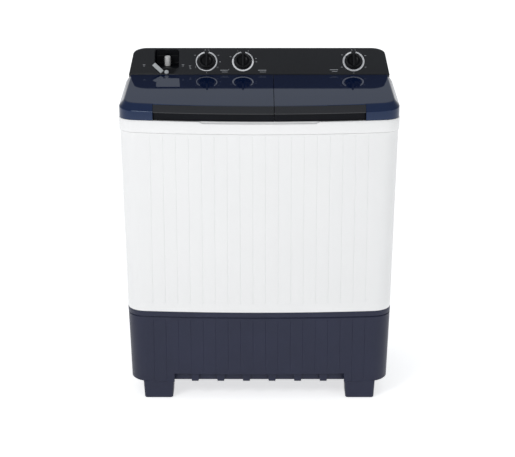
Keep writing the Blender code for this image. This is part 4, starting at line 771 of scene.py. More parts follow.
def tail_z(y, radius=TAIL):
    return HINGE_Z - math.sqrt(max(0.0, radius**2 - (y - HINGE_Y) ** 2))


bm = bmesh.new()
for left, right in ROD_ENDS.values():
    for x in (left + 0.006, right - 0.006):
        top = arc((HINGE_Y, HINGE_Z), (0.007, 0.007), 0, 180, 14)
        pulled(bm, top + [(HINGE_Y - 0.008, DECK_Z - 0.001), (HINGE_Y + 0.008, DECK_Z - 0.001)], x - 0.003, x + 0.003)
for side in (-1, 1):
    front, rear, radius = HINGE_Y - 0.0188, HINGE_Y + 0.0222, TAIL + 0.001
    ys = [rear + (front - rear) * i / 14 for i in range(15)]
    cheek = [(front, DECK_Z - 0.001), (rear, DECK_Z - 0.001)] + [(y, tail_z(y, radius)) for y in ys]
    ends = sorted((side * (WIDTH / 2 - 0.0065), side * (WIDTH / 2 - 0.016)))
    pulled(bm, cheek, *ends, 0.0005)
add("hinge_posts", bm, white)

# %% [markdown]
# ## Lids
# Both lids are cut from one shape: a shallow shell with a steep lower lip, a bevel all round, and a top that rises
# towards the panel. The front bevel is left out in the middle, where a black grip strip takes its place. Making the
# pair as one skin and then cutting it at the gap is how their edges stay in line.

# %% Lid skin
LID_FRONT_Z = DECK_Z + 0.0242 + 0.0178
SLOPE = math.tan(math.radians(6.25))
LID_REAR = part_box("wash_lid")[1].y
GRIP_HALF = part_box("spin_lid_grip")[1].x + 0.0003


def lid_top(y):
    return LID_FRONT_Z + (y - FRONT_Y - 0.015) * SLOPE


side_ys = (-0.14, -0.11, -0.08, -0.05, -0.022, -0.010, 0.005, 0.0180, HINGE_Y - 0.0201, HINGE_Y - 0.0199, HINGE_Y - 0.017)
side_ys += (HINGE_Y - 0.012, HINGE_Y - 0.006, HINGE_Y, HINGE_Y + 0.007, HINGE_Y + 0.013, LID_REAR)
lid_front = plain([-GRIP_HALF, GRIP_HALF, SPLIT_X - 0.0008, SPLIT_X + 0.0008], 60)


def skirt_z(y):
    return tail_z(y) if y > HINGE_Y - 0.02 else DECK_Z + 0.0003


def lid_row(inset, height):
    points = outline(WIDTH / 2, DECK_Z, inset, lid_front, REAR_Y, sides=side_ys, chain=True)
    return [Vector((p.x, p.y, height(p.y))) for p in points]


LID_ROWS = (
    (0.0010, 0.0194), (0.0011, 0.0184), (0.0016, 0.0172), (0.0026, 0.0160), (0.0142, 0.0022),
    (0.0152, 0.0011), (0.0166, 0.0003), (0.0184, 0.0), (0.0215, 0.0),
)
lid_rows = [lid_row(0.0016, skirt_z), lid_row(0.0010, lambda y: skirt_z(y) + 0.0006)]
lid_rows += [lid_row(inset, lambda y, down=down: lid_top(y) - down) for inset, down in LID_ROWS]
bm = bmesh.new()
_, crown = shell(bm, lid_rows, closed=False)
bmesh.ops.contextual_create(bm, geom=crown + edges_of(bm, crown, False))
for y in (-0.17, -0.14, -0.11, -0.08, -0.05, -0.022, -0.010, 0.005, 0.018, 0.033, 0.050):
    tops = [f for f in bm.faces if f.calc_area() > 0.006]
    geom = tops + list({e for f in tops for e in f.edges}) + list({v for f in tops for v in f.verts})
    bmesh.ops.bisect_plane(bm, geom=geom, plane_co=(0, y, 0), plane_no=(0, 1, 0), dist=1e-6)
for vert in bm.verts:
    if vert.co.z > lid_top(vert.co.y) - 0.0001:
        vert.co.z = lid_top(vert.co.y)


def behind_grip(face):
    middle = face.calc_center_median()
    return abs(middle.x) < GRIP_HALF and middle.y < FRONT_Y + bow_at(DECK_Z) * (middle.x / 0.34) ** 2 + 0.0172


gone = [f for f in bm.faces if behind_grip(f)]
bmesh.ops.delete(bm, geom=gone, context="FACES")
print("faces cleared for the grip", len(gone), "lid top", round(lid_top(LID_REAR), 4))

# %% [markdown]
# The full skin is kept as a mesh and cut once for each lid. Where a cut or the grip's opening leaves an open edge,
# that edge is extruded straight down, so no lid shows its hollow inside from the gap.

# %% Cut the skin into two lids and close their facing sides
full_skin = bpy.data.meshes.new("lid_skin")
bm.to_mesh(full_skin)
bm.free()


def one_lid(name, cut_x, keep_left):
    bm = bmesh.new()
    bm.from_mesh(full_skin)
    geom = bm.verts[:] + bm.edges[:] + bm.faces[:]
    bmesh.ops.bisect_plane(
        bm, geom=geom, plane_co=(cut_x, 0, 0), plane_no=(1, 0, 0), dist=1e-6,
        clear_outer=keep_left, clear_inner=not keep_left,
    )
    boundary = [e for e in bm.edges if e.is_boundary]
    facing_side = [e for e in boundary if all(abs(v.co.x - cut_x) < 1e-5 for v in e.verts)]
    made = bmesh.ops.extrude_edge_only(bm, edges=facing_side)["geom"]
    for vert in [g for g in made if isinstance(g, bmesh.types.BMVert)]:
        vert.co.z = skirt_z(vert.co.y)
    behind = [
        e
        for e in boundary
        if all(abs(v.co.x) < GRIP_HALF + 1e-5 and v.co.y < -0.17 and v.co.z > lid_top(v.co.y) - 0.001 for v in e.verts)
        and abs(e.verts[0].co.x - e.verts[1].co.x) > 1e-4
    ]
    made = bmesh.ops.extrude_edge_only(bm, edges=behind)["geom"]
    for vert in [g for g in made if isinstance(g, bmesh.types.BMVert)]:
        vert.co.z = DECK_Z + 0.0012
    add(name + "_shell", bm, lid_navy, name, [name], wall=0.0023, facing=(0, 0, 1), bend=30, merge=4e-6)


one_lid("wash_lid", SPLIT_X - 0.0008, True)
one_lid("spin_lid", SPLIT_X + 0.0008, False)

# %% [markdown]
# Under each lid, two ears go round the hinge rod and three low ribs keep the top from flexing. Both are flat side
# shapes pulled along X, like the posts they meet.

# %% Knuckles under the lids
for name, (left, right) in ROD_ENDS.items():
    bm = bmesh.new()
    for ear, side in ((left + 0.006, 1), (right - 0.006, -1)):
        inner = ear + side * 0.0035
        ends = sorted((inner, inner + side * 0.006))
        drop = arc((HINGE_Y, HINGE_Z), (0.007, 0.007), 180, 360, 14)
        pulled(bm, drop + [(y, lid_top(y) - 0.0016) for y in (HINGE_Y + 0.007, HINGE_Y - 0.007)], *ends, 0.0004)
    for x in (left + 0.060, (left + right) / 2, right - 0.060):
        rib = [(y, lid_top(y) - 0.0018) for y in (0.040, -0.190)] + [(-0.190, lid_top(-0.190) - 0.005)]
        rib += [(0.010, lid_top(0.010) - 0.008), (0.040, lid_top(0.040) - 0.004)]
        pulled(bm, rib, x - 0.001, x + 0.001, 0.0003)
    add(name + "_lid_knuckles", bm, lid_navy, name + "_lid")

# %% [markdown]
# ## Grip strips
# A gloss black strip carries on the lids' bevel in the middle of the front. Below its nose it steps back, which
# leaves a shadow gap for the fingers; the faces of that gap take a near-black, low-gloss material as painted shade. Its
# section is grown along the bowed front edge and capped at both ends.

# %% Grip strips
low, lip_z, top = DECK_Z + 0.0009, DECK_Z + 0.0242, LID_FRONT_Z - 0.0002
section = [(0.0062, low), (0.0177, low), (0.0177, top - 0.0003), (0.0172, top), (0.0158, top), (0.0150, top - 0.0004)]
section += [(0.0143, top - 0.0012), (0.0018, lip_z + 0.0010), (0.0011, lip_z + 0.0004), (0.0010, lip_z - 0.0004)]
section += [(0.0010, lip_z - 0.0013), (0.0015, lip_z - 0.0020), (0.0058, lip_z - 0.0028), (0.0062, lip_z - 0.0036)]
for name, ends in (("wash", (-GRIP_HALF + 0.0006, SPLIT_X - 0.0009)), ("spin", (SPLIT_X + 0.0009, GRIP_HALF - 0.0006))):
    bm = bmesh.new()
    rows = []
    stations = [ends[0], ends[0] + 0.0006] + [ends[0] + 0.0006 + (ends[1] - ends[0] - 0.0012) * i / 30 for i in range(1, 31)]
    for x in stations + [ends[1]]:
        near = 0.0005 if x in (ends[0], ends[1]) else 0.0
        start = FRONT_Y + bow_at(DECK_Z) * (x / (WIDTH / 2 - CORNER)) ** 2
        rows.append([Vector((x, start + d + near * (0.008 - d) / 0.008, z)) for d, z in section])
    shell(bm, rows, caps=(True, True))
    lid = name + "_lid"
    strip = add(lid + "_grip_strip", bm, gloss_black, lid, [lid + "_grip"], bend=38)
    # Faces below the grip's nose take the near-black material as painted shade for the finger gap.
    strip.data.materials.append(painted_shade_black)
    for polygon in strip.data.polygons:
        polygon.material_index = 1 if polygon.center.z < lip_z - 0.0022 else 0

# %% [markdown]
# ## Console
# The console is a hollow hood with sides that lean in and round top corners. Its front is a separate flat panel
# that leans back by 36 degrees. The hood is grown from the panel to the ridge and down to the back, then opened on
# top over the inlet recess, where the filling hose is pushed on.

# %% The panel's own frame and outline
LEAN = math.radians(36.0)
FASCIA_Y = LID_REAR + 0.002
FASCIA_Z = lid_top(LID_REAR) + 0.0006
FASCIA_LENGTH, FASCIA_THICK = 0.084, 0.003
FASCIA_UP = Vector((0, math.sin(LEAN), math.cos(LEAN)))
FASCIA_OUT = Vector((0, -math.cos(LEAN), math.sin(LEAN)))
FASCIA_TOP = Vector((0, FASCIA_Y, FASCIA_Z)) + FASCIA_LENGTH * FASCIA_UP


def on_panel(x=0.0, up=0.0, out=0.0):
    """The frame of a point on the panel: X to the right, Y up the panel, Z out of it."""
    axes = Matrix((Vector((1, 0, 0)), FASCIA_UP, FASCIA_OUT)).transposed().to_4x4()
    return at(0, FASCIA_Y, FASCIA_Z) @ axes @ at(x, up, out)


def hood_points(inset=0.0, top=None, corner=1.0, foot=None, count=12):
    """The console seen from the front, as (x, z) points from its right foot over the top to its left foot."""
    top = FASCIA_TOP.z if top is None else top
    half = WIDTH / 2 - 0.0130 - inset
    corner_x, corner_z = 0.043 * corner, 0.017 * corner
    shoulder = top - inset - corner_z
    upper = half - 0.21 * (shoulder - FASCIA_Z)
    low = foot if foot is not None else DECK_Z + 0.0003
    right = [(half, low), (half, min(FASCIA_Z, shoulder - 0.002))]
    right += arc((upper - corner_x, shoulder), (corner_x, corner_z), 0, 90, count)
    across = [(x / 10 * (upper - corner_x), top - inset) for x in range(9, 0, -1)]
    return right + across + [(0.0, top - inset)] + [(-x, z) for x, z in reversed(right + across)]


# %% Hood
ridge_y, rear_y = FASCIA_TOP.y + 0.009, BODY_REAR
rear_top = DECK_Z + 0.068
back = FASCIA_THICK + 0.0003


def on_back(points, depth):
    """The points laid on a plane that lies depth behind the panel's face, upright below its foot."""
    placed = []
    for x, z in points:
        y = FASCIA_Y + (z - FASCIA_Z) * math.tan(LEAN) + depth / math.cos(LEAN)
        placed.append(Vector((x, max(y, FASCIA_Y + 0.0065), z)))
    return placed


def flat_row(points, y):
    return [Vector((x, y, z)) for x, z in points]


hood_rows = [on_back(hood_points(0.0016), back), on_back(hood_points(0.0005), back + 0.0004)]
hood_rows.append(on_back(hood_points(), back + 0.0014))
for share in (0.35, 0.7, 1.0):
    row = []
    for point in on_back(hood_points(), back + 0.0014):
        row.append(Vector((point.x, point.y + (ridge_y - 0.002 - point.y) * share, point.z)))
    hood_rows.append(row)
for share in (0.0, 0.015, 0.06, 0.14, 0.25, 0.40, 0.55, 0.70, 0.84, 0.94, 0.985, 1.0):
    y = ridge_y + (rear_y - 0.003 - ridge_y) * share
    top = FASCIA_TOP.z - (FASCIA_TOP.z - rear_top) * max(0.0, (share - 0.01) / 0.99)
    hood_rows.append(flat_row(hood_points(0.0, top, 1.0 - 0.45 * share), y))
hood_rows.append(flat_row(hood_points(0.0010, rear_top, 0.55), rear_y - 0.0008))
hood_rows.append(flat_row(hood_points(0.0030, rear_top, 0.55), rear_y))
bm = bmesh.new()
_, rear_chain = shell(bm, hood_rows, closed=False)
bmesh.ops.contextual_create(bm, geom=rear_chain + edges_of(bm, rear_chain, False))
INLET_X = (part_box("inlet_recess")[0].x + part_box("inlet_recess")[1].x) / 2
RECESS_HALF = 0.036
recess_rear = FASCIA_Y + 0.096
cut_opening(
    bm,
    (INLET_X - RECESS_HALF, ridge_y, None),
    (INLET_X + RECESS_HALF, recess_rear, None),
    lambda p: p.z > 0.92 and p.x < -0.15,
)
add(
    "console_hood", bm, gloss_black, nodes=["control_housing"],
    wall=0.0024, facing=(0, 1, 0), bend=40,
)
bm = bmesh.new()
plinth = FASCIA_Y + 0.0066
block(bm, (-WIDTH / 2 + 0.0150, plinth, DECK_Z + 0.0004), (WIDTH / 2 - 0.0150, plinth + 0.0025, FASCIA_Z + 0.001), 0.0008)
add("console_plinth", bm, gloss_black)

# %% [markdown]
# ## Control panel
# The panel is a flat sheet with softened edges and one opening, whose lower part narrows like a funnel down to the
# inlet lever. The sheet is filled between the outline and the opening, and both edges are grown backwards.

# %% Control panel
def panel_row(inset, out):
    """The hood's outline in the panel's frame, closed along the foot."""
    points = hood_points(inset, foot=FASCIA_Z + inset * math.cos(LEAN))
    points = [points[0]] + points[2:-2] + [points[-1]]
    place = on_panel()
    return [place @ Vector((x, (z - FASCIA_Z) / math.cos(LEAN), out)) for x, z in points]


def window_row(grow_by, out):
    """The opening's outline, with round corners, in the panel's frame."""
    left, right = INLET_X - RECESS_HALF - grow_by, INLET_X + RECESS_HALF + grow_by
    top, shelf, foot = FASCIA_LENGTH - 0.004 + grow_by, 0.024, 0.0036 - grow_by
    points = [(INLET_X - 0.0150 - grow_by, foot), (INLET_X + 0.0215 + grow_by, foot)]
    points += [(right - 0.0022, shelf - 0.0042), (right - 0.0004, shelf - 0.0012), (right, shelf + 0.0030)]
    points += arc((right - 0.0060, top - 0.0060), (0.006, 0.006), 0, 90, 6)
    points += arc((left + 0.0060, top - 0.0060), (0.006, 0.006), 90, 180, 6)
    points += [(left, shelf + 0.0030), (left + 0.0004, shelf - 0.0012), (left + 0.0022, shelf - 0.0042)]
    place = on_panel()
    return [place @ Vector((x, up, out)) for x, up in points]


bm = bmesh.new()
panel_outer = loop_of(bm, panel_row(0.0026, 0.0))
loop = panel_outer
for inset, out in ((0.0014, 0.0), (0.0005, -0.0004), (0.0, -0.0012), (0.0, -FASCIA_THICK)):
    loop = grow(bm, loop, panel_row(inset, out))
window = loop_of(bm, window_row(0.0016, 0.0))
loop = window
for grow_by, out in ((0.0008, 0.0), (0.0002, -0.0003), (0.0, -0.0009), (0.0, -FASCIA_THICK - 0.0010)):
    loop = grow(bm, loop, window_row(grow_by, out))
bmesh.ops.triangle_fill(
    bm, use_beauty=True, edges=edges_of(bm, panel_outer) + edges_of(bm, window), normal=tuple(FASCIA_OUT)
)
add("control_panel", bm, panel_black, nodes=["control_fascia"], facing=tuple(FASCIA_OUT), bend=40)

# %% [markdown]
# ## Dials and knobs
# Each dial is a printed silver ring. Part of it is a broad bright arc that shows where the machine is at work, and
# the rest is a scale of fine strokes. The knobs have a dished face with a raised bar for the fingers. The rings are
# turned from a small section through part of a circle, and the strokes are single bars set round it.

# %% Dial rings
DIALS = {}
for name in ("wash_timer", "wash_selector", "spin_timer"):
    dial_low, dial_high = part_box("dial_ring_" + name)
    DIALS[name] = (dial_low.x + dial_high.x) / 2
DIAL_UP, DIAL_R = FASCIA_LENGTH / 2, (dial_high.x - dial_low.x) / 2


def ring_arc(bm, place, inner, outer, start, end, high=0.0007):
    """A flat band from one clock angle to another, in degrees from the top, clockwise."""
    steps = max(4, round(abs(end - start) / 4))
    section = [(inner, 0.0001), (inner, high), (outer, high), (outer, 0.0001)]
    turn = Matrix.Rotation(math.radians(90 - end), 4, "Z")
    turned(bm, section, steps, math.radians(end - start), place @ turn, ring=True)


def stroke(bm, place, clock, inner, outer, wide, high=0.0006):
    turn = place @ Matrix.Rotation(math.radians(-clock), 4, "Z")
    block(bm, (-wide / 2, inner, 0.0001), (wide / 2, outer, high), 0.0, place=turn)


def dial(name, arcs, bands, strokes):
    place = on_panel(DIALS[name], DIAL_UP)
    bm = bmesh.new()
    for inner, outer, start, end in arcs:
        ring_arc(bm, place, DIAL_R - inner, DIAL_R - outer, start, end)
    for start, end, step, inner, outer, wide in strokes:
        for i in range(round((end - start) / step) + 1):
            stroke(bm, place, start + i * step, DIAL_R - inner, DIAL_R - outer, wide)
    add("dial_" + name, bm, silver, nodes=["dial_ring_" + name])
    bm = bmesh.new()
    for inner, outer, start, end in bands:
        ring_arc(bm, place, DIAL_R - inner, DIAL_R - outer, start, end, 0.0004)
    add("dial_band_" + name, bm, print_grey)


dial(
    "wash_timer",
    [(0.0044, 0.0004, -56, -13), (0.0014, 0.0, -150, -56), (0.0030, 0.0004, 150, 210), (0.0030, 0.0018, 38, 150)],
    [(0.0042, 0.0, 38, 150), (0.0044, 0.0002, 14, 38), (0.0030, 0.0, -150, -56)],
    [(14, 38, 6, 0.0044, 0.0, 0.0016), (44, 148, 4, 0.0044, 0.0028, 0.0007), (-76, -60, 4, 0.0044, 0.0, 0.0007)],
)
dial(
    "wash_selector",
    [(0.0046, 0.0, 85, 285)],
    [(0.0034, 0.0010, 14, 85), (0.0034, 0.0010, -75, -14)],
    [(16, 82, 5, 0.0042, 0.0002, 0.0011), (-72, -14, 5, 0.0042, 0.0002, 0.0011)],
)
dial(
    "spin_timer",
    [(0.0046, 0.0002, -50, -13), (0.0012, 0.0, 14, 300), (0.0046, 0.0036, 40, 300)],
    [(0.0040, 0.0008, 14, 308)],
    [(14, 306, 6, 0.0042, 0.0002, 0.0010)],
)


# %% [markdown]
# The small words of a real panel are left as plain bars, and only the numbers of the scales are spelt out. Each number
# starts as a text curve, which becomes a mesh before it is laid on the panel.

# %% Marks round the dials
def add_print(name, items):
    """Small raised strokes in the panel's frame: (x, up, width, height, turn)."""
    bm = bmesh.new()
    for x, up, wide, tall, turn in items:
        place = on_panel(x, up) @ Matrix.Rotation(math.radians(turn), 4, "Z")
        block(bm, (-wide / 2, -tall / 2, 0.00005), (wide / 2, tall / 2, 0.0003), 0.0, place=place)
    add(name, bm, print_grey)


marks = []
for x, up, long_w, short_w in (
    (-0.1030, 0.0135, 0.022, 0.017),
    (0.0085, 0.0135, 0.024, 0.018),
    (0.2190, 0.0150, 0.024, 0.016),
):
    marks += [(x, up, long_w, 0.0018, 0), (x + 0.002, up - 0.0056, short_w, 0.0013, 0)]
for x, up in ((-0.3380, 0.0310), (-0.2236, 0.0310), (-0.2030, 0.0275)):
    marks += [(x, up, 0.0070, 0.0013, 0), (x, up - 0.0042, 0.0046, 0.0012, 0)]
marks += [(-0.0900, 0.0150, 0.004, 0.0012, 50), (-0.2030, 0.0190, 0.0042, 0.0009, 45), (-0.2010, 0.0190, 0.0042, 0.0009, -45)]
for name, clocks in (("wash_timer", (-60, 60, 92)), ("wash_selector", (-68, 76, 92)), ("spin_timer", (-58, 62, -118, 118))):
    for clock in clocks:
        a = math.radians(clock)
        marks.append((DIALS[name] + 0.0395 * math.sin(a), DIAL_UP + 0.0395 * math.cos(a), 0.0048, 0.0014, 0))
add_print("panel_marks", marks)


# %% Numbers on the scales
def number(text, x, up, tall):
    """A number that lies on the panel, made a mesh before it is placed."""
    curve = bpy.data.curves.new("number_" + text, "FONT")
    curve.body, curve.size, curve.align_x, curve.align_y, curve.extrude = text, tall, "CENTER", "CENTER", 0.0001
    holder = bpy.data.objects.new("number_" + text, curve)
    scene.collection.objects.link(holder)
    bpy.context.view_layer.update()
    mesh = bpy.data.meshes.new_from_object(holder.evaluated_get(bpy.context.evaluated_depsgraph_get()))
    bpy.data.objects.remove(holder)
    mesh.transform(on_panel(x, up, 0.0002))
    return mesh


bm = bmesh.new()
for name, numbers in (
    ("wash_timer", (("0", -7), ("15", 8), ("12", 122), ("9", 180), ("3", -120))),
    ("wash_selector", (("1", -24), ("2", 24))),
    ("spin_timer", (("0", -7), ("5", 8), ("3", 180))),
):
    for text, clock in numbers:
        a = math.radians(clock)
        digits = number(text, DIALS[name] + 0.0372 * math.sin(a), DIAL_UP + 0.0368 * math.cos(a), 0.0056)
        bm.from_mesh(digits)
add("scale_numbers", bm, print_grey)

# %% [markdown]
# A knob is a dished cap turned from one profile, with a tapered bar across it that is bevelled on every edge.

# %% Knobs
for name, x in DIALS.items():
    place = on_panel(x, DIAL_UP)
    bm = bmesh.new()
    profile = [(0.0, 0.0020), (0.0215, 0.0018), (0.0223, 0.0021), (0.0225, 0.0028), (0.0220, 0.0096), (0.0216, 0.0104)]
    profile += [(0.0207, 0.0107), (0.0196, 0.0106), (0.0184, 0.0099), (0.0158, 0.0066), (0.0120, 0.0044), (0.0, 0.0036)]
    turned(bm, profile, 64, place=place)
    before = set(bm.verts)
    block(bm, (-0.0044, -0.0216, 0.0030), (0.0044, 0.0216, 0.0166), 0.0)
    bar = [v for v in bm.verts if v not in before]
    for vert in bar:
        if vert.co.z > 0.01:
            vert.co.x *= 0.62
            vert.co.y *= 0.955
    edges = list({e for v in bar for e in v.link_edges})
    bmesh.ops.bevel(bm, geom=edges, offset=0.0016, segments=4, affect="EDGES", profile=0.5, material=-1)
    bmesh.ops.transform(bm, matrix=place, verts=[v for v in bm.verts if v not in before])
    add(name + "_dial_knob", bm, knob_black, name, [name + "_knob"], bend=35)

# %% [markdown]
# ## Water inlet
# The recess behind the panel holds the white stub that the filling hose is pushed on. A grey lever on the front
# sends the water to one well or the other. The recess is a box with its top and front taken off.

# %% Recess, stub and lever
bm = bmesh.new()
left, right = INLET_X - RECESS_HALF + 0.0003, INLET_X + RECESS_HALF - 0.0003
shelf_z, roof = FASCIA_Z + 0.024 * math.cos(LEAN) - 0.0060, FASCIA_TOP.z - 0.0035
behind = FASCIA_Y + (FASCIA_THICK + 0.0003) / math.cos(LEAN)
verts = bmesh.ops.create_cube(bm, size=2.0)["verts"]
for vert in verts:
    z = shelf_z if vert.co.z < 0 else roof
    if vert.co.y < 0:
        y = behind + (z - FASCIA_Z) * math.tan(LEAN)
    else:
        y = recess_rear - 0.0010
        z = z if vert.co.z < 0 else FASCIA_TOP.z - 0.0140
    vert.co = Vector((right if vert.co.x > 0 else left, y, z))
bmesh.ops.recalc_face_normals(bm, faces=bm.faces)
open_sides = [f for f in bm.faces if f.normal.z > 0.5 or f.normal.y < -0.4]
bmesh.ops.delete(bm, geom=open_sides, context="FACES")
corners = [e for e in bm.edges if not e.is_boundary]
bmesh.ops.bevel(bm, geom=corners, offset=0.006, segments=5, affect="EDGES", profile=0.5, material=-1)
# The liner is black plastic, darkened further with the near-black material as painted shade inside the recess.
add("recess_liner", bm, painted_shade_black, nodes=["inlet_recess"], wall=0.0016, facing=(0, 0, 1))
nozzle_low, nozzle_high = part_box("inlet_nozzle")
nozzle = at(INLET_X, (nozzle_low.y + nozzle_high.y) / 2)
top = nozzle_high.z
bm = bmesh.new()
profile = [(0.0062, nozzle_low.z), (0.0086, nozzle_low.z), (0.0089, shelf_z), (0.0089, top - 0.0050), (0.0087, top - 0.0030)]
profile += [(0.0082, top - 0.0012), (0.0074, top - 0.0002), (0.0068, top), (0.0063, top - 0.0006), (0.0060, top - 0.0020)]
turned(bm, profile, 48, place=nozzle, ring=True)
add("inlet_stub", bm, white, nodes=["inlet_nozzle"])
place = on_panel(INLET_X, 0.0068)
bm = bmesh.new()
profile = [(0.0, -0.0088), (0.0030, -0.0088), (0.0030, 0.0006), (0.0058, 0.0006), (0.0064, 0.0010), (0.0064, 0.0030)]
turned(bm, profile + [(0.0058, 0.0040), (0.0042, 0.0050), (0.0022, 0.0055), (0.0, 0.0057)], 36, place=place)
elbow, along, across = Vector((-0.0115, -0.0013)), Vector((-1, 1)).normalized(), Vector((1, 1)).normalized()
tip = elbow + 0.038 * along
corner_points = [elbow - 0.006 * across + 0.0015 * along, elbow + 0.006 * across + 0.0015 * along]
corner_points += [tip + 0.006 * across, tip - 0.006 * across]
before = set(bm.verts)
loop = loop_of(bm, [Vector((*p, 0.0008)) for p in corner_points])
cap(bm, loop)
end = grow(bm, loop, [Vector((*p, 0.0038)) for p in corner_points])
cap(bm, end)
arm = [v for v in bm.verts if v not in before]
edges = list({e for v in arm for e in v.link_edges})
bmesh.ops.bevel(bm, geom=edges, offset=0.0010, segments=3, affect="EDGES", profile=0.5, material=-1)
bmesh.ops.transform(bm, matrix=place, verts=[v for v in bm.verts if v not in before])
add("inlet_lever_arm", bm, grey, "inlet_lever", ["inlet_lever"])
bm = bmesh.new()
block(bm, (-0.0150, -0.0042, 0.0010), (-0.0020, 0.0030, 0.0030), 0.0006, 2, place)
add("inlet_lever_link", bm, knob_black, "inlet_lever")
bm = bmesh.new()
stop_place = on_panel(INLET_X + 0.0270, 0.0118) @ Matrix.Rotation(math.radians(-31), 4, "Z")
block(bm, (-0.0013, -0.0105, -0.0025), (0.0013, 0.0105, 0.0006), 0.0006, 3, stop_place)
block(bm, (-0.0150, -0.0110, -0.0045), (0.0110, 0.0170, -0.0034), 0.0004, 2, on_panel(INLET_X + 0.003, 0.0068))
add("lever_stop", bm, panel_black)

# %% [markdown]
# ## Pulsator
# The pulsator is the blue dish that swings the washing round. Its rim curls up, a dome covers the shaft, and six
# curved vanes push the water. The dish is turned, and the vanes are blocks that taper from the hub to the rim.

# %% Pulsator
place = at(wash_x, wash_y, WASH_FLOOR)
radius = (pulsator_high.x - pulsator_low.x) / 2
bm = bmesh.new()
profile = [(0.0, 0.0065), (radius - 0.010, 0.0065), (radius - 0.003, 0.0085), (radius, 0.0120), (radius - 0.0004, 0.0152)]
profile += [(radius - 0.0020, 0.0168), (radius - 0.0050, 0.0160), (radius - 0.0120, 0.0136), (0.100, 0.0134), (0.060, 0.0158)]
profile += [(0.047, 0.0180), (0.040, 0.0250), (0.034, 0.0340), (0.026, 0.0410), (0.014, 0.0450), (0.0, 0.0462)]
turned(bm, profile, 72, place=place)
for i in range(6):
    before = set(bm.verts)
    verts = bmesh.ops.create_cube(bm, size=1.0)["verts"]
    bmesh.ops.subdivide_edges(
        bm, edges=[e for e in {e for v in verts for e in v.link_edges} if abs(e.verts[0].co.x - e.verts[1].co.x) > 0.5], cuts=7
    )
    vane = [v for v in bm.verts if v not in before]
    for vert in vane:
        share, top = vert.co.x + 0.5, vert.co.z > 0
        half = (0.0115 - 0.0065 * share) * (0.34 if top else 1.0)
        rise = 0.0385 - 0.0195 * share**1.3
        sweep = 0.020 * share * share
        side = math.copysign(half, vert.co.y)
        vert.co = Vector((0.022 + (radius - 0.036) * share, side + sweep, rise if top else 0.0110))
    edges = {e for v in vane for e in v.link_edges if abs(e.verts[0].co.x - e.verts[1].co.x) > 0.004}
    edges = [e for e in edges if all(v.co.z > 0.0115 for v in e.verts)]
    bmesh.ops.bevel(bm, geom=edges, offset=0.0011, segments=3, affect="EDGES", profile=0.5, material=-1)
    turn = place @ Matrix.Rotation(math.tau * i / 6, 4, "Z")
    bmesh.ops.transform(bm, matrix=turn, verts=[v for v in bm.verts if v not in before])
for ring_radius, count in ((0.075, 18), (0.112, 30)):
    for i in range(count):
        a = math.tau * (i + 0.5) / count
        spot = place @ at(ring_radius * math.cos(a), ring_radius * math.sin(a), 0.0142)
        turned(bm, [(0.0, 0.0022), (0.0016, 0.0018), (0.0026, 0.0)], 8, place=spot)
add("pulsator_dish", bm, blue, "wash_rotor", ["pulsator"], bend=38)

# %% [markdown]
# ## Spin basket
# The basket is drawn steel with rows of drain holes and a rolled top edge. The wall is a fine grid round the axis:
# chosen faces are inset and taken out, which leaves clean square-cut holes, and Solidify gives the sheet its
# thickness.

# %% Spin basket
place = at(spin_x, spin_y)
radius, floor, top = (basket_high.x - basket_low.x) / 2, basket_low.z, basket_high.z
bm = bmesh.new()
levels = [floor + 0.014 + (top - 0.012 - floor - 0.014) * i / 26 for i in range(27)]
shell(bm, [round_row(z, radius, count=96) for z in levels])
bm.faces.ensure_lookup_table()
chosen = []
for face in bm.faces:
    middle = face.calc_center_median()
    turn = round((math.degrees(math.atan2(middle.y - spin_y, middle.x - spin_x)) % 360) / 3.75 - 0.5)
    row = round((middle.z - levels[0]) / (levels[1] - levels[0]) - 0.5)
    if row % 3 == 1 and 1 <= row <= 24 and (turn + (row // 3) % 2) % 2 == 0:
        chosen.append(face)
bmesh.ops.inset_individual(bm, faces=chosen, thickness=0.0014, use_even_offset=True)
bmesh.ops.delete(bm, geom=chosen, context="FACES")


def ring_at(level):
    """The wall's points at one level, in order round the axis."""
    found = [v for v in bm.verts if abs(v.co.z - level) < 1e-6]
    return sorted(found, key=lambda v: math.atan2(v.co.y - spin_y, v.co.x - spin_x) % math.tau)


def ring_like(loop, z, r):
    centre = Vector((spin_x, spin_y))
    return [Vector((*(centre + (v.co.xy - centre).normalized() * r), z)) for v in loop]


first, last = ring_at(levels[0]), ring_at(levels[-1])
loop = first
for z, r in (
    (floor + 0.008, radius - 0.0012), (floor + 0.003, radius - 0.0045), (floor + 0.0006, radius - 0.010),
    (floor + 0.0002, radius - 0.016), (floor + 0.0002, 0.070), (floor + 0.0030, 0.066), (floor + 0.0030, 0.046),
    (floor + 0.0060, 0.040), (floor + 0.0220, 0.031), (floor + 0.0290, 0.026), (floor + 0.0325, 0.016), (floor + 0.0335, 0.002),
):
    loop = grow(bm, loop, ring_like(loop, z, r))
cap(bm, loop)
loop = last
for z, r in (
    (top - 0.007, radius - 0.0003), (top - 0.0035, radius - 0.0016), (top - 0.0010, radius - 0.0042), (top, radius - 0.0075),
    (top - 0.0008, radius - 0.0096), (top - 0.0028, radius - 0.0104), (top - 0.0042, radius - 0.0094), (top - 0.0044, radius - 0.0076),
):
    loop = grow(bm, loop, ring_like(loop, z, r))
add("spin_basket_wall", bm, steel, "spin_rotor", ["spin_basket"], wall=0.0010, facing=(0, 0, -1), bend=45)

# %% [markdown]
# ## Lint filter
# A frame hangs on the wash well's rear wall and holds a fine net that bulges into the water. The net is a grid of
# faces turned into thin wires, so that it is a real net and not a picture of one.

# %% Lint filter
bm = bmesh.new()
x_mid, half, rear = (filter_low.x + filter_high.x) / 2, (filter_high.x - filter_low.x) / 2, filter_high.y
low, high = filter_low.z, filter_high.z


def frame_row(inset, y, lift=0.0):
    corner = 0.015 - min(inset, 0.008) * 0.8
    bottom, top = low + inset + lift, high - inset - lift * 1.6
    points = rounded_rectangle((x_mid - half + inset, bottom), (x_mid + half - inset, top), corner)
    return [Vector((x, y, z)) for x, z in points]


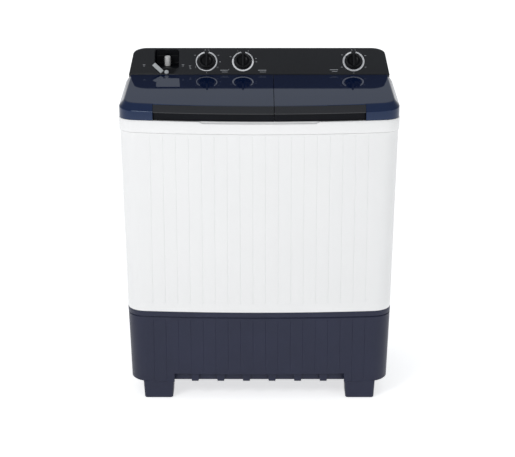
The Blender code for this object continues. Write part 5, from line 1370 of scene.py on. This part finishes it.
rows = [frame_row(0.0015, rear), frame_row(0.0, rear - 0.0015), frame_row(0.0, rear - 0.0105), frame_row(0.0015, rear - 0.012)]
rows += [frame_row(0.012, rear - 0.012, 0.004), frame_row(0.0135, rear - 0.0105, 0.004), frame_row(0.0135, rear, 0.004)]
first, last = shell(bm, rows)
bmesh.ops.bridge_loops(bm, edges=edges_of(bm, first) + edges_of(bm, last))
block(bm, (x_mid - 0.018, rear - 0.0170, high - 0.026), (x_mid + 0.018, rear - 0.0110, high - 0.008), 0.002, 3)
for side in (-1, 1):
    x = x_mid + side * half * 0.62
    block(bm, (x - 0.004, rear - 0.006, high - 0.002), (x + 0.004, rear - 0.001, high - 0.0002), 0.0004)
add("lint_filter_frame", bm, blue, "lint_filter", ["lint_filter"])
bm = bmesh.new()
net = bmesh.ops.create_grid(bm, x_segments=16, y_segments=34, size=0.5)["verts"]
wide, tall = half - 0.0125, (high - low) / 2 - 0.0150
for vert in net:
    u, v = vert.co.x * 2, vert.co.y * 2
    bulge = 0.0085 * (1 - u**4) * (1 - v**4)
    vert.co = Vector((x_mid + u * wide, rear - 0.0060 - bulge, (low + high) / 2 + 0.001 + v * tall))
bmesh.ops.recalc_face_normals(bm, faces=bm.faces)
bmesh.ops.wireframe(bm, faces=bm.faces[:], thickness=0.0007, use_replace=True, use_even_offset=False)
add("lint_net", bm, white, "lint_filter", bend=60)

# %% [markdown]
# ## Parts that keep their CAD shape
# The motors, pulleys, belt, hose, dampers, rods and switches are already the right shape in the frame. They are only
# seen from below, behind or inside, so each one keeps its mesh and gets a finish that suits what it is made of.

# %% Finishes for the carried-over parts
CARRIED = {
    cast: ["wash_gearbox", "drive_pulley", "motor_pulley", "brake_drum"],
    bright_steel: ["pulsator_shaft", "spin_shaft", "wash_lid_hinge_rod", "spin_lid_hinge_rod", "brake_arm", "spin_motor_plate"]
    + [name + "_shaft" for name in DIALS],
    rubber: ["drive_belt", "spin_bearing", "spin_damper_1", "spin_damper_2", "spin_damper_3", "cable_gland"],
    matt_black: ["drain_valve_body", "drain_outlet"] + [name + "_body" for name in DIALS],
    hose_black: ["drain_hose"],
    grey: ["drain_plunger"],
}
motor_paint = surface("motor_paint", (0.055, 0.060, 0.066), 0.46, 0.15, 0.14, 30, 600, 0.30)
CARRIED[motor_paint] = ["wash_motor", "spin_motor"]
for material, names in CARRIED.items():
    for name in names:
        mesh = frame["nodes"][name].data
        mesh.materials.clear()
        mesh.materials.append(material)
print("carried over", sum(len(names) for names in CARRIED.values()))

# %% [markdown]
# ## Floor
# A pale matt floor runs twenty metres out each way. It glows a little more away from the machine, which keeps the
# sweep white without bleaching the contact shadow.

# %% Floor
bm = bmesh.new()
bmesh.ops.create_grid(bm, x_segments=8, y_segments=8, size=20.0)
floor_mesh = bpy.data.meshes.new("floor")
bm.to_mesh(floor_mesh)
bm.free()
floor_piece = bpy.data.objects.new("floor", floor_mesh)
paper = surface("floor_paper", (0.90, 0.90, 0.90), 0.80, shade=0.004, slow=1.5, grain=300, depth=0.02)
lit = paper.node_tree.nodes["Principled BSDF"]
lit.inputs["Emission Color"].default_value = (1.0, 1.0, 1.0, 1.0)
reach = paper.node_tree.nodes.new("ShaderNodeVectorMath")
reach.operation = "LENGTH"
glow = node(paper.node_tree, "ShaderNodeMapRange", From_Min=0.5, From_Max=2.0, To_Min=0.66, To_Max=0.76)
spot = paper.node_tree.nodes.new("ShaderNodeTexCoord")
paper.node_tree.links.new(spot.outputs["Object"], reach.inputs[0])
paper.node_tree.links.new(reach.outputs["Value"], glow.inputs["Value"])
paper.node_tree.links.new(glow.outputs[0], lit.inputs["Emission Strength"])
floor_mesh.materials.append(paper)
scene.collection.objects.link(floor_piece)
floor_piece.location.z = -0.0002

# %% [markdown]
# ## Finish
# The last cell prints the CAD nodes that still show and were given no finish here.

# %% Nodes left without a finish
left_over = sorted(
    name for name, piece in frame["nodes"].items() if not piece.hide_render and name not in sum(CARRIED.values(), [])
)
print("nodes still showing without a finish", left_over)
